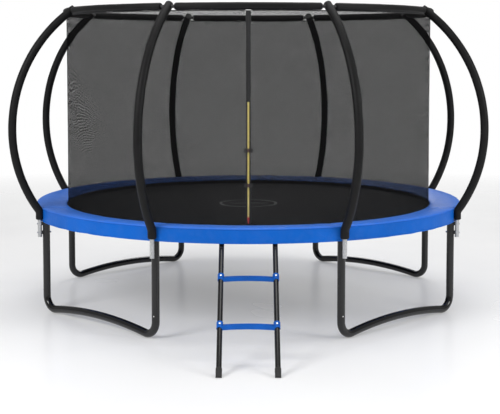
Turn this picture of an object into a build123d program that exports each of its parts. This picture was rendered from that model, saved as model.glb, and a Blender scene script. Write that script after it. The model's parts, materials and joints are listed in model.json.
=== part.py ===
from build123d import *
import os
from math import acos, atan2, cos, degrees, hypot, radians, sin, sqrt, tan

# Round backyard trampoline: four U-legs, eight curved frame rails, a sprung jumping mat,
# a ring pad with a skirt, eight bowed enclosure poles in foam, a padded top hoop, a net
# with a zipped door, and a two-step ladder.
#
# Millimetres, +Z up. The origin is on the ground below the middle of the mat, the door
# and the ladder face -Y. "Bearing" is the angle round the frame from the door, in
# degrees, positive towards +X.

os.makedirs("parts", exist_ok=True)

# Posts: the eight places where a leg, a rail joint and a pole meet
POST_BEARINGS = {
    "front_right": 22.5,
    "side_front_right": 67.5,
    "side_rear_right": 112.5,
    "rear_right": 157.5,
    "rear_left": -157.5,
    "side_rear_left": -112.5,
    "side_front_left": -67.5,
    "front_left": -22.5,
}
RAIL_BEARINGS = {
    "front": 0,
    "front_right": 45,
    "right": 90,
    "rear_right": 135,
    "rear": 180,
    "rear_left": -135,
    "left": -90,
    "front_left": -45,
}
LEG_BEARINGS = {"front_right": 45, "rear_right": 135, "rear_left": -135, "front_left": -45}
POSTS = 8
POST_PITCH = 360 / POSTS
POST_START = 22.5 - 90

# Frame ring, a nominal 3.66 m (12 ft) across
FRAME_R = 1810
FRAME_Z = 818
FRAME_TUBE_D = 42
FRAME_WALL = 1.5
RAIL_END_GAP = 6
SOCKET_D = 50
SOCKET_BORE = 46
SOCKET_LENGTH = 150
SPIGOT_D = 56
SPIGOT_FOOT_Z = 700
SPIGOT_WALL = 1.8

# Legs
LEG_D = 60
LEG_WALL = 1.8
LEG_BEND_R = 105
LEG_SEAM_Z = 208
LEG_TOP_Z = 762
LEG_SWAGE_D = 56
LEG_SWAGE_FOOT_Z = 148
LEG_RISE = 8.3
LEG_HUMP_R = 3900
LEG_SCREW_Z = 180

# Enclosure poles
POLE_D = 34
POLE_WALL = 1.5
POLE_R = 1864
POLE_FOOT_Z = 622
POLE_BEND_R = 60
BULGE_R = 2081
BULGE_Z = 1504
LOWER_BOW_R = 1143
UPPER_BOW_R = 1216
FOAM_D = 66
FOAM_BORE = 34.6
FOAM_FOOT_Z = 767
FOAM_REST_R = 1844
FOAM_REST_TOP_Z = 872
CAP_THICKNESS = 5
CAP_PLUG_D = 34
CAP_PLUG_LENGTH = 8
POLE_BOLT_ZS = (732, 659)
SPACER_HEIGHT = 26
SPACER_WIDTH = 30
SPACER_DEPTH = 22
SADDLE_GAP = 0.1

# Top hoop
HOOP_R = 1579
HOOP_ROD_D = 19
HOOP_ROD_WALL = 1.5
HOOP_TEE_D = 25
HOOP_TEE_BORE = 21
HOOP_TEE_LENGTH = 106
HOOP_FOAM_D = 56
HOOP_FOAM_BORE = 19.8
HOOP_FOAM_START = 57
TEE_PLUG_D = 30.2
TEE_NECK_D = 22
TEE_HOLE_D = 25.6
TUBE_END_GAP = 22
NECK_START = 24
PLUG_END = 76
FOAM_OVERHANG = 25

# Fasteners
BOLT_D = 8
BOLT_HOLE_D = 8.8
BOLT_HEAD_D = 14
BOLT_HEAD_HEIGHT = 5.5
NUT_D = 15
NUT_HEIGHT = 7
NUT_BORE = 8.4
THREAD_END = 3
SCREW_D = 4.8
SCREW_HOLE_D = 5.4
SCREW_HEAD_D = 10
SCREW_HEAD_HEIGHT = 3
SCREW_LENGTH = 12

# Jumping mat and springs
MAT_R = 1612
MAT_TOP_Z = 812
MAT_THICKNESS = 3
BAND_WIDTH = 40
BAND_THICKNESS = 2.5
SPRINGS = 72
RING_R = 14
RING_WIRE_D = 5
RING_PLACE_R = MAT_R + RING_R + RING_WIRE_D / 2 + 0.5
SPRING_D = 22
SPRING_WIRE_D = 3.2
SPRING_INNER_R = RING_PLACE_R + RING_R + RING_WIRE_D / 2 + 1
SPRING_OUTER_R = FRAME_R - 17.5
SPRING_OUTER_Z = FRAME_Z + 14
SPRING_HOOK = 14

# Pad over the springs, and its skirt
PAD_INNER_R = 1586
PAD_SHOULDER_R = 1790
PAD_OUTER_R = 1842
PAD_INNER_BOTTOM_Z = 830
PAD_INNER_TOP_Z = 846
PAD_BOTTOM_Z = 846
PAD_TOP_Z = 866
SKIRT_BOTTOM_Z = 747
SKIRT_THICKNESS = 1.5
PANEL_SEAM = 1

# Net and its door
NET_R = 1578
NET_THICKNESS = 1
NET_BOTTOM_Z = 838
NET_TOP_Z = 2440
TAPE_TOP_Z = 2456
HEM_BOTTOM_Z = MAT_TOP_Z + BAND_THICKNESS + 0.5
HEM_THICKNESS = 2
TAPE_WIDTH = 40
TAPE_THICKNESS = 3
TAPE_FRONT_Y = -1580.5
ZIP_WIDTH = 12
ZIP_TOP_Z = 1774
ZIP_BOTTOM_Z = 880
ZIP_THICKNESS = 2.4
ZIP_SPLIT = 2.4
SLIDER_WIDTH = 15
SLIDER_HEIGHT = 26
SLIDER_PLATE = 2
SLIDER_POST = 1.8
SLIDER_GAP = 0.6
PULL_WIDTH = 9
PULL_LENGTH = 34
PULL_THICKNESS = 2.5
BUCKLE_ZS = {"upper": 1412, "lower": 1148}
BUCKLE_HEIGHT = 27
BUCKLE_DEPTH = 12
SOCKET_WIDTH = 36
CLIP_WIDTH = 34
PRONG_LENGTH = 24
PRONG_HEIGHT = 19
PRONG_DEPTH = 6
PRONG_GAP = 0.4
BUCKLE_STANDOFF = 6.4
BUCKLE_BACK_Y = TAPE_FRONT_Y - BUCKLE_STANDOFF
ANCHOR_WIDTH = 9
ANCHOR_HEIGHT = 20
ANCHOR_X = 15

# Ladder
LADDER_HALF_WIDTH = 196.5
LADDER_TUBE_D = 38
LADDER_WALL = 1.5
LADDER_FOOT_Y = -2715
LADDER_TOP_Y = -1768
LADDER_TOP_Z = 747
LADDER_RAIL_START = 38
LADDER_RAIL_END = 1238
STEP_PLACES = {"upper": 867, "lower": 435}
STEP_DEPTH = 70
STEP_SHEET = 3
STEP_LIP = 24
STEP_CROWN = 7
COLLAR_D = 47
COLLAR_BORE = 38.4
COLLAR_LENGTH = 54
BOOT_D = 42
BOOT_BORE = 38.4
BOOT_TOE = 6
BOOT_LENGTH = 72
RIVET_HEAD_HEIGHT = 3
HOOK_WIDTH = 24
HOOK_THICKNESS = 4
HOOK_R = 25.2
HOOK_TIP = 9
HOOK_FOOT = 85
HOOK_BEND_R = 14
HOOK_BOLT_PLACES = (1148, 1183)


def spot(bearing, radius, z):
    """The point at a bearing and a distance from the middle."""
    return (radius * sin(radians(bearing)), -radius * cos(radians(bearing)), z)


def upright_plane(bearing):
    """Upright plane through the middle: x runs outwards along the bearing, y is up."""
    out = spot(bearing, 1, 0)
    return Plane(origin=(0, 0, 0), x_dir=out, z_dir=(out[1], -out[0], 0))


def outward_plane(bearing, radius, z):
    """Plane that faces outwards, with y up."""
    out = spot(bearing, 1, 0)
    return Plane(origin=spot(bearing, radius, z), x_dir=(-out[1], out[0], 0), z_dir=out)


def along_plane(bearing, radius, z):
    """Plane that faces along the ring, with x outwards."""
    out = spot(bearing, 1, 0)
    return Plane(origin=spot(bearing, radius, z), x_dir=out, z_dir=(-out[1], out[0], 0))


def posts_at(radius):
    """One place at each post, at a distance from the middle."""
    return PolarLocations(radius, POSTS, start_angle=POST_START)


def arc_degrees(length, radius):
    """The bearing that a length takes up at a radius."""
    return degrees(length / radius)


def save(piece, node):
    """Label a finished piece and write its file."""
    piece.part.label = node
    export_step(piece.part, f"parts/{node}.step")


# ---------------------------------------------------------------- legs
HALF_CHORD = FRAME_R * sin(radians(POST_PITCH / 2))
CHORD_R = FRAME_R * cos(radians(POST_PITCH / 2))
RISE = radians(LEG_RISE)
LEG_CORNER_Z = LEG_D / 2 - LEG_BEND_R * (tan(RISE) + 1 / cos(RISE) - 1)
LEG_PEAK_Z = LEG_CORNER_Z + HALF_CHORD * tan(RISE)

for place, bearing in LEG_BEARINGS.items():
    with BuildPart() as leg_base:
        leg_plane = Plane(
            origin=spot(bearing, CHORD_R, 0),
            x_dir=spot(bearing + 90, 1, 0),
            z_dir=spot(bearing, 1, 0),
        )
        with BuildLine(leg_plane) as leg_line:
            FilletPolyline(
                (-HALF_CHORD, LEG_SEAM_Z),
                (-HALF_CHORD, LEG_CORNER_Z),
                (0, LEG_PEAK_Z),
                (HALF_CHORD, LEG_CORNER_Z),
                (HALF_CHORD, LEG_SEAM_Z),
                radius=[LEG_BEND_R, LEG_HUMP_R, LEG_BEND_R],
            )
        with BuildSketch(Plane(origin=leg_line.line @ 0, z_dir=leg_line.line % 0)):
            Circle(LEG_D / 2)
            Circle(LEG_D / 2 - LEG_WALL, mode=Mode.SUBTRACT)
        sweep()
        screw_spots = [
            outward_plane(bearing + side * POST_PITCH / 2, FRAME_R, LEG_SCREW_Z)
            for side in (-1, 1)
        ]
        with BuildSketch(*screw_spots):
            Circle(SCREW_HOLE_D / 2)
        extrude(amount=LEG_D, mode=Mode.SUBTRACT)
    save(leg_base, f"leg_base_{place}")

with BuildPart() as leg_extensions:
    with BuildSketch(Plane.XY.offset(LEG_SEAM_Z)):
        with posts_at(FRAME_R):
            Circle(LEG_D / 2)
    extrude(amount=LEG_TOP_Z - LEG_SEAM_Z)
    with BuildSketch(Plane.XY.offset(LEG_SWAGE_FOOT_Z)):
        with posts_at(FRAME_R):
            Circle(LEG_SWAGE_D / 2)
    extrude(amount=LEG_SEAM_Z - LEG_SWAGE_FOOT_Z)
    with BuildSketch(Plane.XY.offset(LEG_SWAGE_FOOT_Z)):
        with posts_at(FRAME_R):
            Circle(LEG_SWAGE_D / 2 - LEG_WALL)
    extrude(amount=LEG_SEAM_Z - LEG_SWAGE_FOOT_Z + LEG_WALL, mode=Mode.SUBTRACT)
    with BuildSketch(Plane.XY.offset(LEG_SEAM_Z + LEG_WALL)):
        with posts_at(FRAME_R):
            Circle(LEG_D / 2 - LEG_WALL)
    extrude(amount=LEG_TOP_Z - LEG_SEAM_Z, mode=Mode.SUBTRACT)
    bolt_spots = [outward_plane(b, FRAME_R, z) for b in POST_BEARINGS.values() for z in POLE_BOLT_ZS]
    with BuildSketch(*bolt_spots):
        Circle(BOLT_HOLE_D / 2)
    extrude(amount=LEG_D, both=True, mode=Mode.SUBTRACT)
    with BuildSketch(*[outward_plane(b, FRAME_R, LEG_SCREW_Z) for b in POST_BEARINGS.values()]):
        Circle(SCREW_HOLE_D / 2)
    extrude(amount=LEG_D, mode=Mode.SUBTRACT)
save(leg_extensions, "leg_extensions")

# ---------------------------------------------------------------- frame ring
for place, bearing in RAIL_BEARINGS.items():
    rail_sweep = POST_PITCH - arc_degrees(RAIL_END_GAP, FRAME_R)
    with BuildPart() as frame_rail:
        with BuildSketch(upright_plane(bearing - rail_sweep / 2)):
            with Locations((FRAME_R, FRAME_Z)):
                Circle(FRAME_TUBE_D / 2)
                Circle(FRAME_TUBE_D / 2 - FRAME_WALL, mode=Mode.SUBTRACT)
        revolve(axis=Axis.Z, revolution_arc=rail_sweep)
    save(frame_rail, f"frame_rail_{place}")

with BuildPart() as frame_sockets:
    socket_spots = [along_plane(b, FRAME_R, FRAME_Z) for b in POST_BEARINGS.values()]
    with BuildSketch(*socket_spots):
        Circle(SOCKET_D / 2)
    extrude(amount=SOCKET_LENGTH / 2, both=True)
    with BuildSketch(Plane.XY.offset(SPIGOT_FOOT_Z)):
        with posts_at(FRAME_R):
            Circle(SPIGOT_D / 2)
    extrude(amount=FRAME_Z - SOCKET_D / 4 - SPIGOT_FOOT_Z)
    with BuildSketch(*socket_spots):
        Circle(SOCKET_BORE / 2)
    extrude(amount=SOCKET_LENGTH / 2, both=True, mode=Mode.SUBTRACT)
    with BuildSketch(Plane.XY.offset(SPIGOT_FOOT_Z)):
        with posts_at(FRAME_R):
            Circle(SPIGOT_D / 2 - SPIGOT_WALL)
    extrude(amount=FRAME_Z - SOCKET_D / 2 - SPIGOT_FOOT_Z, mode=Mode.SUBTRACT)
    with BuildSketch(*bolt_spots):
        Circle(BOLT_HOLE_D / 2)
    extrude(amount=LEG_D, both=True, mode=Mode.SUBTRACT)
save(frame_sockets, "frame_sockets")

# ---------------------------------------------------------------- enclosure poles
# Each pole stands upright beside its leg, bends outwards at the pad, bows out to its
# widest and comes in again over the mat, up to the hoop.
LOWER_BOW_MID = BULGE_R - LOWER_BOW_R
UPPER_BOW_MID = BULGE_R - UPPER_BOW_R
KICK = degrees(acos((POLE_R + POLE_BEND_R - LOWER_BOW_MID) / (LOWER_BOW_R + POLE_BEND_R)))
BEND_Z = BULGE_Z - (LOWER_BOW_R + POLE_BEND_R) * sin(radians(KICK))
HOOP_ANGLE = degrees(acos((HOOP_R - UPPER_BOW_MID) / UPPER_BOW_R))
HOOP_Z = BULGE_Z + UPPER_BOW_R * sin(radians(HOOP_ANGLE))
TUBE_END_ANGLE = HOOP_ANGLE - arc_degrees(TUBE_END_GAP, UPPER_BOW_R)
FOAM_END_ANGLE = HOOP_ANGLE + arc_degrees(FOAM_OVERHANG, UPPER_BOW_R)
print(f"hoop height {HOOP_Z:.1f}, kick {KICK:.2f} deg, pole end {HOOP_ANGLE:.2f} deg from level")


def pole_line(start_z, end_angle):
    """The pole's centreline, from a height on its upright foot to an angle on its upper bow."""
    Line((POLE_R, start_z), (POLE_R, BEND_Z))
    CenterArc((POLE_R + POLE_BEND_R, BEND_Z), POLE_BEND_R, 180, -KICK)
    CenterArc((LOWER_BOW_MID, BULGE_Z), LOWER_BOW_R, -KICK, KICK)
    CenterArc((UPPER_BOW_MID, BULGE_Z), UPPER_BOW_R, 0, end_angle)


def bow_plane(bearing, angle):
    """Plane across the pole at an angle on its upper bow, facing along the pole."""
    r = UPPER_BOW_MID + UPPER_BOW_R * cos(radians(angle))
    z = BULGE_Z + UPPER_BOW_R * sin(radians(angle))
    out = spot(bearing, 1, 0)
    inward, up = -sin(radians(angle)), cos(radians(angle))
    return Plane(
        origin=spot(bearing, r, z),
        x_dir=(-out[1], out[0], 0),
        z_dir=(out[0] * inward, out[1] * inward, up),
    )


for place, bearing in POST_BEARINGS.items():
    with BuildPart() as pole:
        with BuildLine(upright_plane(bearing)):
            pole_line(POLE_FOOT_Z, TUBE_END_ANGLE)
        with BuildSketch(Plane(origin=spot(bearing, POLE_R, POLE_FOOT_Z), z_dir=(0, 0, 1))):
            Circle(POLE_D / 2)
            Circle(POLE_D / 2 - POLE_WALL, mode=Mode.SUBTRACT)
        sweep()
        with BuildSketch(*[outward_plane(bearing, POLE_R, z) for z in POLE_BOLT_ZS]):
            Circle(BOLT_HOLE_D / 2)
        extrude(amount=POLE_D, both=True, mode=Mode.SUBTRACT)
    save(pole, f"pole_{place}")

    with BuildPart() as pole_foam:
        with BuildLine(upright_plane(bearing)):
            pole_line(FOAM_FOOT_Z, FOAM_END_ANGLE)
        with BuildSketch(Plane(origin=spot(bearing, POLE_R, FOAM_FOOT_Z), z_dir=(0, 0, 1))):
            Circle(FOAM_D / 2)
            Circle(FOAM_BORE / 2, mode=Mode.SUBTRACT)
        sweep()
        with BuildSketch(along_plane(bearing, HOOP_R, HOOP_Z)):
            Circle(TEE_HOLE_D / 2)
        extrude(amount=FOAM_D, both=True, mode=Mode.SUBTRACT)
        with BuildSketch(Plane.XY.offset(FOAM_FOOT_Z)):
            Circle(FOAM_REST_R)
        extrude(amount=FOAM_REST_TOP_Z - FOAM_FOOT_Z, mode=Mode.SUBTRACT)
    save(pole_foam, f"pole_foam_{place}")

with BuildPart() as pole_caps:
    cap_planes = [bow_plane(b, FOAM_END_ANGLE) for b in POST_BEARINGS.values()]
    with BuildSketch(*cap_planes):
        Circle(FOAM_D / 2)
    extrude(amount=CAP_THICKNESS)
    fillet(pole_caps.edges().filter_by(GeomType.CIRCLE).group_by(Axis.Z)[-1], CAP_THICKNESS * 0.8)
    with BuildSketch(*cap_planes):
        Circle(CAP_PLUG_D / 2)
    extrude(amount=-CAP_PLUG_LENGTH)
save(pole_caps, "pole_caps")

SADDLE_R = (FRAME_R + LEG_D / 2 + POLE_R - POLE_D / 2) / 2
with BuildPart() as pole_spacers:
    for z in POLE_BOLT_ZS:
        with BuildSketch(Plane.XY.offset(z - SPACER_HEIGHT / 2)):
            with posts_at(SADDLE_R):
                Rectangle(SPACER_DEPTH, SPACER_WIDTH)
            with posts_at(FRAME_R):
                Circle(LEG_D / 2 + SADDLE_GAP, mode=Mode.SUBTRACT)
            with posts_at(POLE_R):
                Circle(POLE_D / 2 + SADDLE_GAP, mode=Mode.SUBTRACT)
        extrude(amount=SPACER_HEIGHT)
    with BuildSketch(*bolt_spots):
        Circle(BOLT_HOLE_D / 2)
    extrude(amount=POLE_R - FRAME_R, mode=Mode.SUBTRACT)
save(pole_spacers, "pole_spacers")

NUT_R = FRAME_R - LEG_D / 2 - NUT_HEIGHT
BOLT_TIP_R = NUT_R - THREAD_END
HEAD_R = POLE_R + POLE_D / 2
with BuildPart() as leg_fasteners:
    post_bolts = [(b, z) for b in POST_BEARINGS.values() for z in POLE_BOLT_ZS]
    with BuildSketch(*[outward_plane(b, BOLT_TIP_R, z) for b, z in post_bolts]):
        Circle(BOLT_D / 2)
    extrude(amount=HEAD_R - BOLT_TIP_R)
    with BuildSketch(*[outward_plane(b, HEAD_R, z) for b, z in post_bolts]):
        RegularPolygon(BOLT_HEAD_D / 2, 6)
    extrude(amount=BOLT_HEAD_HEIGHT)
    with BuildSketch(*[outward_plane(b, NUT_R, z) for b, z in post_bolts]):
        RegularPolygon(NUT_D / 2, 6)
        Circle(NUT_BORE / 2, mode=Mode.SUBTRACT)
    extrude(amount=NUT_HEIGHT)
    leg_face_r = FRAME_R + LEG_D / 2
    with BuildSketch(*[outward_plane(b, leg_face_r, LEG_SCREW_Z) for b in POST_BEARINGS.values()]):
        Circle(SCREW_HEAD_D / 2)
    extrude(amount=SCREW_HEAD_HEIGHT)
    with BuildSketch(*[outward_plane(b, leg_face_r, LEG_SCREW_Z) for b in POST_BEARINGS.values()]):
        Circle(SCREW_D / 2)
    extrude(amount=-SCREW_LENGTH)
save(leg_fasteners, "leg_fasteners")

# ---------------------------------------------------------------- top hoop
with BuildPart() as hoop_rods:
    rod_sweep = POST_PITCH - arc_degrees(RAIL_END_GAP, HOOP_R)
    for bearing in RAIL_BEARINGS.values():
        with BuildSketch(upright_plane(bearing - rod_sweep / 2)):
            with Locations((HOOP_R, HOOP_Z)):
                Circle(HOOP_ROD_D / 2)
                Circle(HOOP_ROD_D / 2 - HOOP_ROD_WALL, mode=Mode.SUBTRACT)
        revolve(axis=Axis.Z, revolution_arc=rod_sweep)
save(hoop_rods, "hoop_rods")

with BuildPart() as hoop_foam:
    foam_sweep = POST_PITCH - 2 * arc_degrees(HOOP_FOAM_START, HOOP_R)
    for bearing in RAIL_BEARINGS.values():
        with BuildSketch(upright_plane(bearing - foam_sweep / 2)):
            with Locations((HOOP_R, HOOP_Z)):
                Circle(HOOP_FOAM_D / 2)
                Circle(HOOP_FOAM_BORE / 2, mode=Mode.SUBTRACT)
        revolve(axis=Axis.Z, revolution_arc=foam_sweep)
save(hoop_foam, "hoop_foam")

with BuildPart() as hoop_tees:
    tee_planes = [along_plane(b, HOOP_R, HOOP_Z) for b in POST_BEARINGS.values()]
    with BuildSketch(*tee_planes):
        Circle(HOOP_TEE_D / 2)
    extrude(amount=HOOP_TEE_LENGTH / 2, both=True)
    neck_angle = HOOP_ANGLE - arc_degrees(NECK_START, UPPER_BOW_R)
    plug_angle = HOOP_ANGLE - arc_degrees(PLUG_END, UPPER_BOW_R)
    for bearing in POST_BEARINGS.values():
        with BuildLine(upright_plane(bearing)):
            CenterArc((UPPER_BOW_MID, BULGE_Z), UPPER_BOW_R, neck_angle, HOOP_ANGLE - neck_angle)
        with BuildSketch(bow_plane(bearing, neck_angle)):
            Circle(TEE_NECK_D / 2)
        sweep()
        with BuildLine(upright_plane(bearing)):
            CenterArc((UPPER_BOW_MID, BULGE_Z), UPPER_BOW_R, plug_angle, neck_angle - plug_angle)
        with BuildSketch(bow_plane(bearing, plug_angle)):
            Circle(TEE_PLUG_D / 2)
        sweep()
    with BuildSketch(*tee_planes):
        Circle(HOOP_TEE_BORE / 2)
    extrude(amount=HOOP_TEE_LENGTH / 2, both=True, mode=Mode.SUBTRACT)
save(hoop_tees, "hoop_tees")

# ---------------------------------------------------------------- jumping mat and springs
with BuildPart() as jump_mat:
    with BuildSketch(Plane.XY.offset(MAT_TOP_Z - MAT_THICKNESS)):
        Circle(MAT_R)
    extrude(amount=MAT_THICKNESS)
save(jump_mat, "jump_mat")

with BuildPart() as mat_edge_band:
    with BuildSketch(Plane.XY.offset(MAT_TOP_Z)):
        Circle(MAT_R)
        Circle(MAT_R - BAND_WIDTH, mode=Mode.SUBTRACT)
    extrude(amount=BAND_THICKNESS)
save(mat_edge_band, "mat_edge_band")

SPRING_BEARINGS = [n * 360 / SPRINGS for n in range(SPRINGS)]
with BuildPart() as mat_rings:
    for bearing in SPRING_BEARINGS:
        ring_middle = Location(spot(bearing, RING_PLACE_R, MAT_TOP_Z))
        with Locations(ring_middle):
            Torus(RING_R, RING_WIRE_D / 2)
save(mat_rings, "mat_rings")

SPRING_RISE = SPRING_OUTER_Z - MAT_TOP_Z
SPRING_SPAN = SPRING_OUTER_R - SPRING_INNER_R
SPRING_LENGTH = hypot(SPRING_SPAN, SPRING_RISE)


def spring_plane(bearing, along):
    """Plane across a spring, facing outwards, at a distance from its mat end."""
    share = along / SPRING_LENGTH
    out = spot(bearing, SPRING_SPAN / SPRING_LENGTH, SPRING_RISE / SPRING_LENGTH)
    r = SPRING_INNER_R + SPRING_SPAN * share
    return Plane(
        origin=spot(bearing, r, MAT_TOP_Z + SPRING_RISE * share),
        x_dir=spot(bearing + 90, 1, 0),
        z_dir=out,
    )


with BuildPart() as springs:
    with BuildSketch(*[spring_plane(b, SPRING_HOOK) for b in SPRING_BEARINGS]):
        Circle(SPRING_D / 2)
        Circle(SPRING_D / 2 - SPRING_WIRE_D, mode=Mode.SUBTRACT)
    extrude(amount=SPRING_LENGTH - 2 * SPRING_HOOK)
    for start in (0, SPRING_LENGTH - SPRING_HOOK - SPRING_WIRE_D):
        with BuildSketch(*[spring_plane(b, start) for b in SPRING_BEARINGS]):
            Circle(SPRING_WIRE_D / 2)
        extrude(amount=SPRING_HOOK + SPRING_WIRE_D)
    for start in (SPRING_HOOK, SPRING_LENGTH - SPRING_HOOK - SPRING_WIRE_D):
        with BuildSketch(*[spring_plane(b, start) for b in SPRING_BEARINGS]):
            Circle(SPRING_D / 2 - SPRING_WIRE_D / 2)
        extrude(amount=SPRING_WIRE_D)
save(springs, "springs")

# ---------------------------------------------------------------- pad and skirt
with BuildPart() as spring_pad:
    for bearing in RAIL_BEARINGS.values():
        panel_sweep = POST_PITCH - arc_degrees(PANEL_SEAM, PAD_OUTER_R)
        with BuildSketch(upright_plane(bearing - panel_sweep / 2)):
            with BuildLine():
                Polyline(
                    (PAD_INNER_R, PAD_INNER_BOTTOM_Z),
                    (PAD_SHOULDER_R, PAD_BOTTOM_Z),
                    (PAD_OUTER_R, PAD_BOTTOM_Z),
                    (PAD_OUTER_R, PAD_TOP_Z),
                    (PAD_SHOULDER_R, PAD_TOP_Z),
                    (PAD_INNER_R, PAD_INNER_TOP_Z),
                    close=True,
                )
            make_face()
        revolve(axis=Axis.Z, revolution_arc=panel_sweep)
save(spring_pad, "spring_pad")

with BuildPart() as pad_skirt:
    for bearing in RAIL_BEARINGS.values():
        with BuildSketch(upright_plane(bearing - panel_sweep / 2)):
            with Locations((PAD_OUTER_R - SKIRT_THICKNESS / 2, (SKIRT_BOTTOM_Z + PAD_BOTTOM_Z) / 2)):
                Rectangle(SKIRT_THICKNESS, PAD_BOTTOM_Z - SKIRT_BOTTOM_Z)
        revolve(axis=Axis.Z, revolution_arc=panel_sweep)
save(pad_skirt, "pad_skirt")

# ---------------------------------------------------------------- net and door
DOOR_EDGE = arc_degrees(TAPE_WIDTH / 2 + 0.5, NET_R)
NET_SEAM = arc_degrees(1, NET_R)
NET_PANELS = {
    "net_front_right": (DOOR_EDGE, 90 - NET_SEAM),
    "net_rear_right": (90, 180 - NET_SEAM),
    "net_rear_left": (180, 270 - NET_SEAM),
    "net_front_left": (270, 360 - DOOR_EDGE),
}


NET_MIDDLE = (NET_R - NET_THICKNESS / 2, (NET_BOTTOM_Z + NET_TOP_Z) / 2)
for node, (first, last) in NET_PANELS.items():
    with BuildPart() as net:
        with BuildSketch(upright_plane(first)):
            with Locations(NET_MIDDLE):
                Rectangle(NET_THICKNESS, NET_TOP_Z - NET_BOTTOM_Z)
        revolve(axis=Axis.Z, revolution_arc=last - first)
    save(net, node)

HEM_TOP_Z = NET_BOTTOM_Z - 0.5
with BuildPart() as net_hem:
    for first, last in ((DOOR_EDGE, 180 - NET_SEAM), (180, 360 - DOOR_EDGE)):
        with BuildSketch(upright_plane(first)):
            with Locations((NET_R - HEM_THICKNESS / 2, (HEM_BOTTOM_Z + HEM_TOP_Z) / 2)):
                Rectangle(HEM_THICKNESS, HEM_TOP_Z - HEM_BOTTOM_Z)
        revolve(axis=Axis.Z, revolution_arc=last - first)
save(net_hem, "net_hem")

TAPE_MIDDLE_Y = TAPE_FRONT_Y + TAPE_THICKNESS / 2
with BuildPart() as door_tape:
    with BuildSketch(Plane.XY.offset(NET_BOTTOM_Z)):
        with Locations((0, TAPE_MIDDLE_Y)):
            Rectangle(TAPE_WIDTH, TAPE_THICKNESS)
    extrude(amount=TAPE_TOP_Z - NET_BOTTOM_Z)
    with BuildSketch(Plane.XY.offset(ZIP_BOTTOM_Z - 2)):
        with Locations((0, TAPE_MIDDLE_Y)):
            Rectangle(ZIP_WIDTH + 0.4, TAPE_THICKNESS)
    extrude(amount=ZIP_TOP_Z - ZIP_BOTTOM_Z + 4, mode=Mode.SUBTRACT)
save(door_tape, "door_tape")

ZIP_ROW = (ZIP_WIDTH - ZIP_SPLIT) / 2
with BuildPart() as zipper:
    with BuildSketch(Plane.XY.offset(ZIP_BOTTOM_Z)):
        with Locations(*[(side * (ZIP_SPLIT + ZIP_ROW) / 2, TAPE_MIDDLE_Y) for side in (-1, 1)]):
            Rectangle(ZIP_ROW, ZIP_THICKNESS)
    extrude(amount=ZIP_TOP_Z - ZIP_BOTTOM_Z)
save(zipper, "zipper")

SLIDER_FRONT_Y = TAPE_FRONT_Y - SLIDER_GAP
SLIDER_BACK_Y = TAPE_FRONT_Y + TAPE_THICKNESS + SLIDER_GAP
with BuildPart() as zipper_slider:
    with BuildSketch(Plane.XY.offset(ZIP_BOTTOM_Z + 2)):
        with Locations((0, SLIDER_FRONT_Y - SLIDER_PLATE / 2), (0, SLIDER_BACK_Y + SLIDER_PLATE / 2)):
            Rectangle(SLIDER_WIDTH, SLIDER_PLATE)
        with Locations((0, (SLIDER_FRONT_Y + SLIDER_BACK_Y) / 2)):
            Rectangle(SLIDER_POST, SLIDER_BACK_Y - SLIDER_FRONT_Y)
    extrude(amount=SLIDER_HEIGHT)
    pull_y = SLIDER_FRONT_Y - SLIDER_PLATE - PULL_THICKNESS
    with BuildSketch(Plane.XZ.offset(-pull_y - PULL_THICKNESS)):
        with Locations((0, ZIP_BOTTOM_Z + 2 + SLIDER_HEIGHT / 2 - PULL_LENGTH / 2)):
            RectangleRounded(PULL_WIDTH, PULL_LENGTH, PULL_WIDTH / 2 - 0.2)
    extrude(amount=PULL_THICKNESS)
save(zipper_slider, "zipper_slider")

BUCKLE_MIDDLE_Y = BUCKLE_BACK_Y - BUCKLE_DEPTH / 2
with BuildPart() as buckle_sockets:
    for z in BUCKLE_ZS.values():
        with Locations((SOCKET_WIDTH / 2, BUCKLE_MIDDLE_Y, z)):
            Box(SOCKET_WIDTH, BUCKLE_DEPTH, BUCKLE_HEIGHT)
    fillet(buckle_sockets.edges().filter_by(Axis.X), 3)
    for z in BUCKLE_ZS.values():
        with Locations((PRONG_LENGTH / 2 + 1, BUCKLE_MIDDLE_Y, z)):
            Box(
                PRONG_LENGTH + 2,
                PRONG_DEPTH + 2 * PRONG_GAP,
                PRONG_HEIGHT + 2 * PRONG_GAP,
                mode=Mode.SUBTRACT,
            )
        with Locations((ANCHOR_X, TAPE_FRONT_Y - BUCKLE_STANDOFF / 2, z)):
            Box(ANCHOR_WIDTH, BUCKLE_STANDOFF, ANCHOR_HEIGHT)
save(buckle_sockets, "buckle_sockets")

for place, z in BUCKLE_ZS.items():
    with BuildPart() as buckle_clip:
        with Locations((-CLIP_WIDTH / 2 - 0.5, BUCKLE_MIDDLE_Y, z)):
            Box(CLIP_WIDTH, BUCKLE_DEPTH, BUCKLE_HEIGHT)
        fillet(buckle_clip.edges().filter_by(Axis.X), 3)
        with Locations((-0.5 + PRONG_LENGTH / 2, BUCKLE_MIDDLE_Y, z)):
            Box(PRONG_LENGTH, PRONG_DEPTH, PRONG_HEIGHT)
        with Locations((-0.5 + PRONG_LENGTH / 2 + 2, BUCKLE_MIDDLE_Y, z)):
            Box(PRONG_LENGTH - 2, PRONG_DEPTH, PRONG_HEIGHT / 3, mode=Mode.SUBTRACT)
    save(buckle_clip, f"buckle_clip_{place}")

# ---------------------------------------------------------------- ladder
# The ladder leans against the frame ring. "Along" is the distance up a rail from where its
# centreline would meet the ground.
LADDER_RUN = LADDER_TOP_Y - LADDER_FOOT_Y
LADDER_SLOPE = atan2(LADDER_TOP_Z, LADDER_RUN)
UP_Y = cos(LADDER_SLOPE)
UP_Z = sin(LADDER_SLOPE)
RAIL_XS = {"left": -LADDER_HALF_WIDTH, "right": LADDER_HALF_WIDTH}


def rail_point(x, along, out=0):
    """A point beside a ladder rail's centreline; out is the distance towards a climber."""
    return (x, LADDER_FOOT_Y + along * UP_Y - out * UP_Z, along * UP_Z + out * UP_Y)


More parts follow.
